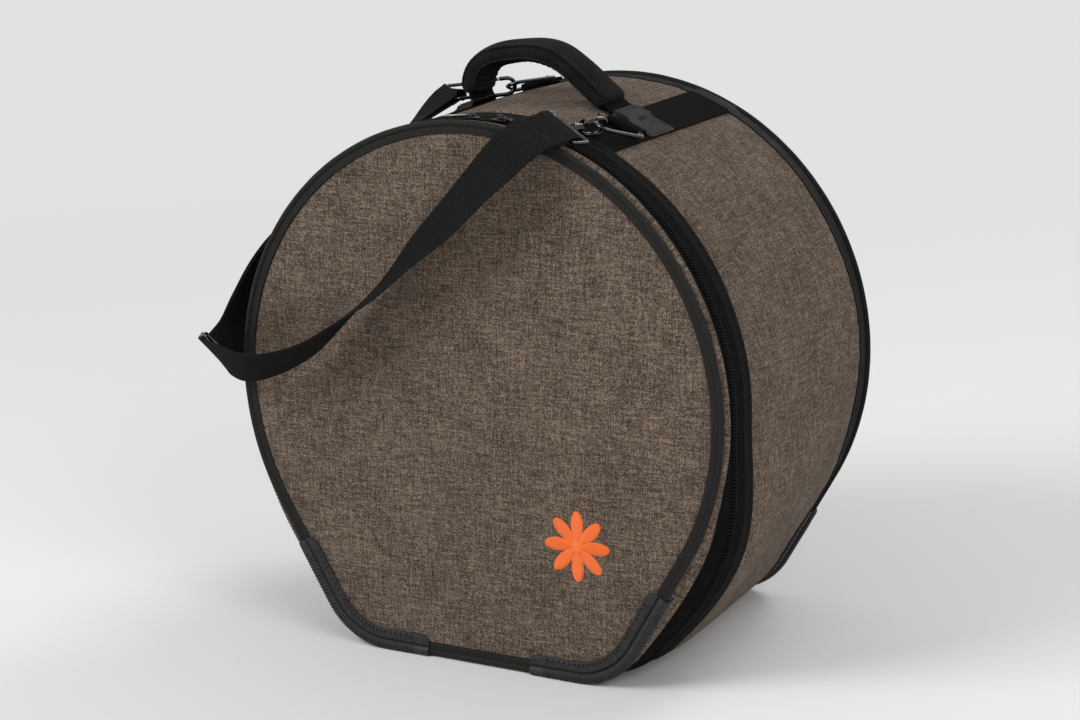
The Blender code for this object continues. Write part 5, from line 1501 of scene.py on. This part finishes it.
for word in ("left", "right"):
    swivel = joint_named(f"hook_{word}_swivel")
    tip, ahead = np.array(swivel["pos_m"]), unit(swivel["axis"])
    across = square_to(np.array(hook_acrosses[word]), ahead)
    up = upward(np.cross(ahead, across))

    def spot(s, h, tip=tip, ahead=ahead, up=up):
        return tip + ahead * s + up * h

    spine = [spot(*place) for place in ((0.0206, -0.0020), (0.0185, -0.0031), (0.01575, -0.0047), (0.0132, -0.0060),
                                        (0.0110, -0.00655), (0.0060, -0.0066))]
    curl = arc(spot(0.0006, 0.0), ahead, up, hook_bend, -90, -270, 30)[::3]
    path = soft_path(np.vstack([spine, curl, spot(0.0040, 0.0066), spot(0.0070, 0.0066)]), 5)
    run = lengths(path)
    swell = 1 + 0.10 * np.exp(-(((run / run[-1] - 0.62) / 0.2) ** 2))
    swell *= np.where(run > run[-1] - 0.0006, 0.93, 1.0)
    side = np.broadcast_to(across, path.shape)
    rod = loft("hook_rod", path, unit(np.cross(ways(path), side)), side,
               circle(hook_wire, 18)[None] * swell[:, None, None])
    pieces = [rod, turned("hook_neck", tip, ahead, up, neck_profile)]
    pin, nose = spot(0.0168, 0.0045), spot(0.0076, 0.0066)
    for way in (-1, 1):
        pieces.append(plate_between("hook_cheek", (spot(0, 0.0036), ahead, up, across * way), cheek_outline,
                                    [(0.00165, 0.94), (0.0018, 1.0), (0.0025, 1.0), (0.00262, 0.95)]))
        pieces.append(turned("hook_rivet", pin, across * way, ahead,
                             [(0.0024, 0.0010), (0.0027, 0.00105), (0.0030, 0.0009), (0.0032, 0.0005)], 16))
    settle(join(f"snap_hook_{word}", pieces), black_metal, f"hook_{word}", "black_metal", f"hook_{word}")

    long = float(np.linalg.norm(pin - nose))
    gate = turned("gate_rod", nose, unit(pin - nose), across, [
        (0.0, 0.0008), (0.0001, 0.0011), (0.0004, 0.0013), (long * 0.25, 0.00125), (long * 0.75, 0.0012),
        (long - 0.0012, 0.0013), (long + 0.0006, 0.0013), (long + 0.0012, 0.0009)], 20)
    axle = turned("gate_axle", pin, across, ahead, [(-0.0022, 0.00055), (0.0022, 0.00055)], 14)
    settle(join(f"snap_gate_{word}", [gate, axle]), black_metal, f"gate_{word}", "black_metal", f"gate_{word}")

    frame_middle = tip + ahead * (eye_base + eye_long / 2)
    ring = frame_wire("eye_wire", frame_middle, ahead, across, eye_long / 2, eye_wide / 2, 0.0022, up, eye_wire)
    eye = join(f"strap_eye_{word}", [ring, turned("eye_post", tip, ahead, up, post_profile, 24)])
    settle(eye, black_metal, "bag", "black_metal", f"hook_eye_{word}")
    eye_bars[word] = (tip + ahead * (eye_base + eye_long), across)

# %% [markdown]
# ## The shoulder strap
# One run of webbing goes from the right hook down before the lid and back over the side. At the far
# left it passes the adjusting slide, and from there it climbs doubled to the left hook. The strap's
# middle line was read off the photograph: it twists edge-on where it turns under the slide.

# %% The strap's line
front_run = np.array([
    (0.286, -0.047, 0.976), (0.253, -0.094, 0.939), (0.210, -0.118, 0.892), (0.136, -0.118, 0.823),
    (-0.017, -0.110, 0.671), (-0.166, -0.100, 0.541), (-0.301, -0.100, 0.402), (-0.438, -0.105, 0.287),
    (-0.560, -0.114, 0.188), (-0.670, -0.112, 0.119), (-0.793, -0.106, 0.067), (-0.901, -0.102, 0.042),
    (-0.980, -0.092, 0.042)])
front_turns = np.array([
    (0.88, -0.23, -0.41), (0.84, -0.28, -0.47), (0.69, -0.39, -0.61), (0.59, -0.50, -0.63),
    (0.51, -0.62, -0.59), (0.40, -0.79, -0.46), (0.28, -0.92, -0.28), (0.14, -0.99, -0.09),
    (-0.02, -1.00, 0.08), (-0.17, -0.94, 0.29), (-0.22, -0.83, 0.51), (-0.30, -0.64, 0.70),
    (-0.43, -0.40, 0.80)])
side_run = np.array([
    (-1.140, 0.141, 0.080), (-1.110, 0.180, 0.186), (-1.062, 0.219, 0.314), (-0.998, 0.273, 0.433),
    (-0.895, 0.344, 0.557), (-0.762, 0.406, 0.690), (-0.624, 0.488, 0.824)])
side_turns = np.array([
    (-0.62, -0.48, 0.58), (-0.50, -0.75, 0.38), (-0.38, -0.88, 0.20), (-0.25, -0.95, 0.12),
    (-0.08, -0.97, 0.10), (0.12, -0.97, 0.05), (0.38, -0.92, -0.03)])


def strap_place(shares):
    """Places from shares: across and up in radii, deep in depths."""
    shares = np.atleast_2d(shares)
    return shares * [bag_radius, bag_depth, bag_radius] + [middle_x, front_y, centre_height]


slide_at = strap_place((-1.117, 0.004, 0.034))[0]
slide_along = unit(joint_named("adjuster_travel")["axis"])
slide_across = square_to(np.array([-0.66, -0.18, 0.70]), slide_along)
slide_out = np.cross(slide_along, slide_across)
if slide_out[0] > 0:
    slide_out = -slide_out


def same_hand(sides):
    """Turn each direction to the same hand as the one before it."""
    result = [np.asarray(sides[0], float)]
    for side in sides[1:]:
        result.append(side if np.dot(side, result[-1]) > 0 else -side)
    return unit(np.array(result))


def smooth_run(points, sides, per_span=10):
    """A smooth path with its way across, turned square to the path."""
    """A smooth path with its way across, turned square to the path."""
    path = curve_through(points, per_span)
    return path, square_to(unit(curve_through(sides, per_span)), ways(path))


# %% The front run, sewn round the right eye
strap_section = rolled_strip(webbing_width, strap_thickness)
bar, eye_across = eye_bars["right"]
run_points = strap_place(front_run)
away = square_to(run_points[0] - bar, eye_across)
up = upward(np.cross(away, eye_across))
a = np.radians(np.linspace(-65, -295, 19))[:, None]
turn = bar + away * np.cos(a) * np.where(np.cos(a) < 0, 0.0092, 0.0025) + up * 0.0026 * np.sin(a)
folded, onward = ([bar + away * far + up * high for far, high in places] for places in (
    [(0.0238, -0.0009), (0.016, -0.0009), (0.0075, -0.0009), (0.0042, -0.0013)],
    [(0.0042, 0.0013), (0.0075, 0.0008), (0.016, 0.0007), (0.0224, 0.0005)]))
before = np.vstack([folded, turn, onward])
straight = [slide_at - slide_along * far for far in (0.018, 0.0095, 0.0002)]
sides = same_hand(np.vstack([np.broadcast_to(eye_across, before.shape), unit(front_turns[1:]),
                             np.broadcast_to(slide_across, (3, 3))]))
path, cross = smooth_run(np.vstack([before, run_points[1:], straight]), sides, 8)
strap_front = strip_along("strap_front_webbing", path, cross, strap_section)
settle(strap_front, strap_web, "bag", "webbing", "strap_front")
print("the front run is", round(float(lengths(path)[-1]), 3), "m of webbing")
box_of_stitches("strap_front_stitches", bar + away * 0.0055 + up * 0.0018 - eye_across * 0.0155, eye_across * 0.031,
                away * 0.0160, unit(up))

# %% The doubled side run, round the left eye
bar, eye_across = eye_bars["left"]
run_points = strap_place(side_run)
away = square_to(run_points[-1] - bar, eye_across)
middles = np.vstack([slide_at + slide_along * 0.016, run_points, bar + away * 0.008])
path, cross = smooth_run(middles, same_hand(np.vstack([slide_across, unit(side_turns), eye_across])), 10)
normal = unit(np.cross(ways(path), cross))
normal = normal * (1 if normal[0].dot(slide_out) > 0 else -1)
left, run = np.linalg.norm(path - bar, axis=1), lengths(path)
opening = 0.0012 + (0.0025 - 0.0012) * (1 - np.clip(left / 0.030, 0, 1)) ** 0.8
first_span = np.clip(run / 0.030, 0, 1)
inner = path - normal * (first_span * opening)[:, None]
outer = path + normal * (0.0024 * (1 - first_span) + opening * first_span)[:, None]
turn = arc(bar, away, normal[-1], 0.0025, -90, -270, 14)
start = slide_at + slide_along * np.array([[0.0002], [0.008]])
end = slide_at + slide_along * 0.0118 + slide_out * 0.0024
loop = np.vstack([start, inner, turn[1:-1], outer[::-1], end])
loop_cross = np.vstack([np.broadcast_to(cross[0], (2, 3)), cross, np.broadcast_to(cross[-1], (13, 3)), cross[::-1],
                        cross[:1]])
strap_side = strip_along("strap_side_webbing", loop, square_to(loop_cross, ways(loop)), strap_section)
settle(strap_side, strap_web, "bag", "webbing", "strap_side")
print("the doubled run is", round(float(lengths(loop)[-1]), 3), "m of webbing")

# %% The adjusting slide
bar_radius, bar_spacing = 0.0013, 0.0095
low = -(strap_thickness / 2 + gap + bar_radius)
half = webbing_width / 2 + gap + bar_radius
edge_wire = frame_wire("slide_edge", slide_at + slide_out * low, slide_along, slide_across, bar_spacing, half, 0.0024,
                       slide_out, bar_radius)
half_line = [(1.0, low), (1.0, 0.0), (1.0, -low * 0.7), (0.97, -low), (0.9, -low), (0.45, -low)]
middle_line = [slide_at + slide_across * (way * half * reach) + slide_out * height
               for way, places in ((-1, half_line), (1, half_line[::-1])) for reach, height in places]
middle_bar = wire("slide_bar", curve_through(middle_line, 5), slide_along, bar_radius, 18)
slide = join("strap_slide_frame", [edge_wire, middle_bar])
settle(slide, black_metal, "strap_adjuster", "black_metal", "strap_slide")

# %% [markdown]
# ## The stitched rosette
# The front carries a plain flower of eight petals in shiny orange thread. A machine fills such a shape
# with satin stitches: long threads laid side by side across each petal, over a padded base. Here every
# thread is its own small arch, and the arches rise towards the petal's middle.

# %% Satin thread and petals
def satin_thread(name, colour):
    thread = Finish(name, colour, 0.42, Sheen_Weight=0.25, Specular_IOR_Level=0.5, Anisotropic=0.5)
    twist = thread.ridges(thread.plus(thread.times(thread.along, 0.02), thread.times(thread.across, 2.0)), 0.0008)
    soft = thread.spread(thread.cloud(thread.place, 300.0, 2.0), 0.3, 0.7)
    shade = thread.blend(soft, tuple(0.86 * c for c in colour), colour)
    return thread.done(shade, twist, 0.00006, 0.4)


orange_thread = satin_thread("orange_thread", srgb(254, 117, 30))

# %% Where each thread of the petals lies
rosette_radius, waist, petals, stitch_half = 0.028, 0.42, 8, 0.0004
rosette_x, rosette_z = 0.088, round_centre_height - 0.105
starts, ends = [], []
for petal in range(petals):
    a = math.tau * petal / petals
    way, over = np.array([math.cos(a), math.sin(a)]), np.array([-math.sin(a), math.cos(a)])
    for r in np.arange(0.0042, rosette_radius - 0.0004, 0.00043):
        share = (r / rosette_radius - waist) / (1 - waist)
        reach = math.pi / petals if share <= 0 else math.acos(min(1.0, share)) / (petals / 2)
        wide = min(r * math.tan(reach), math.sqrt(max(rosette_radius**2 - r * r, 0))) - 0.00022
        if wide > 0.0003:
            for group, sign in ((starts, -1), (ends, 1)):
                group.append(way * (r * 0.985) + over * (wide * sign) + way * (stitch_half * sign))


def on_lid(flat, lift):
    """Places on the lid's cloth, from places in the flower."""
    x, z = rosette_x + flat[..., 0], rosette_z + flat[..., 1]
    return in_room(x, front_at(x, z) - lift, z)


def mound(name, edge, rings, weave_radius):
    """A low mound on the lid: its edge is shrunk and lifted ring by ring."""
    flat = np.stack([edge * np.cos(a), edge * np.sin(a)], -1)
    points = np.stack([on_lid(flat * share, lift) for share, lift in rings])
    return surface(name, points, places_in_cloth(weave_radius * np.cos(a)[None], weave_radius * np.sin(a)[None]))


# %% The stitched flower
satin = threads("rosette_satin", on_lid(np.array(starts), 0.0005), on_lid(np.array(ends), 0.0005), -rear, 0.00025,
                0.00045)
a = np.linspace(0, math.tau, 12 * petals + 1)
edge = rosette_radius * (waist + (1 - waist) * np.abs(np.cos(petals / 2 * a))) - 0.0005
pad = mound("rosette_pad", edge, [(1.0, 0.0001), (0.985, 0.0003), (0.9, 0.00045), (0.5, 0.0005), (0.0, 0.0005)], edge)
knot = mound("rosette_knot", 1.0, [(0.0048, 0.0003), (0.0046, 0.0009), (0.0038, 0.0013), (0.0024, 0.0015),
                                   (0.0, 0.0016)], 0.002)
rosette = join("stitched_rosette", [satin, pad, knot])
settle(rosette, orange_thread, "lid", "thread", "front_rosette")

# %% [markdown]
# ## Size of the dressed bag
# The sizes of the solids' box and of the dressed bag's box are printed.

# %% Print both boxes
dressed_box = [[float(v) for v in corner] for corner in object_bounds()]
for word, box in (("solids", solid_box), ("dressed", dressed_box)):
    print(word, np.round((np.array(box[1]) - box[0]) * 1000, 1), "mm")
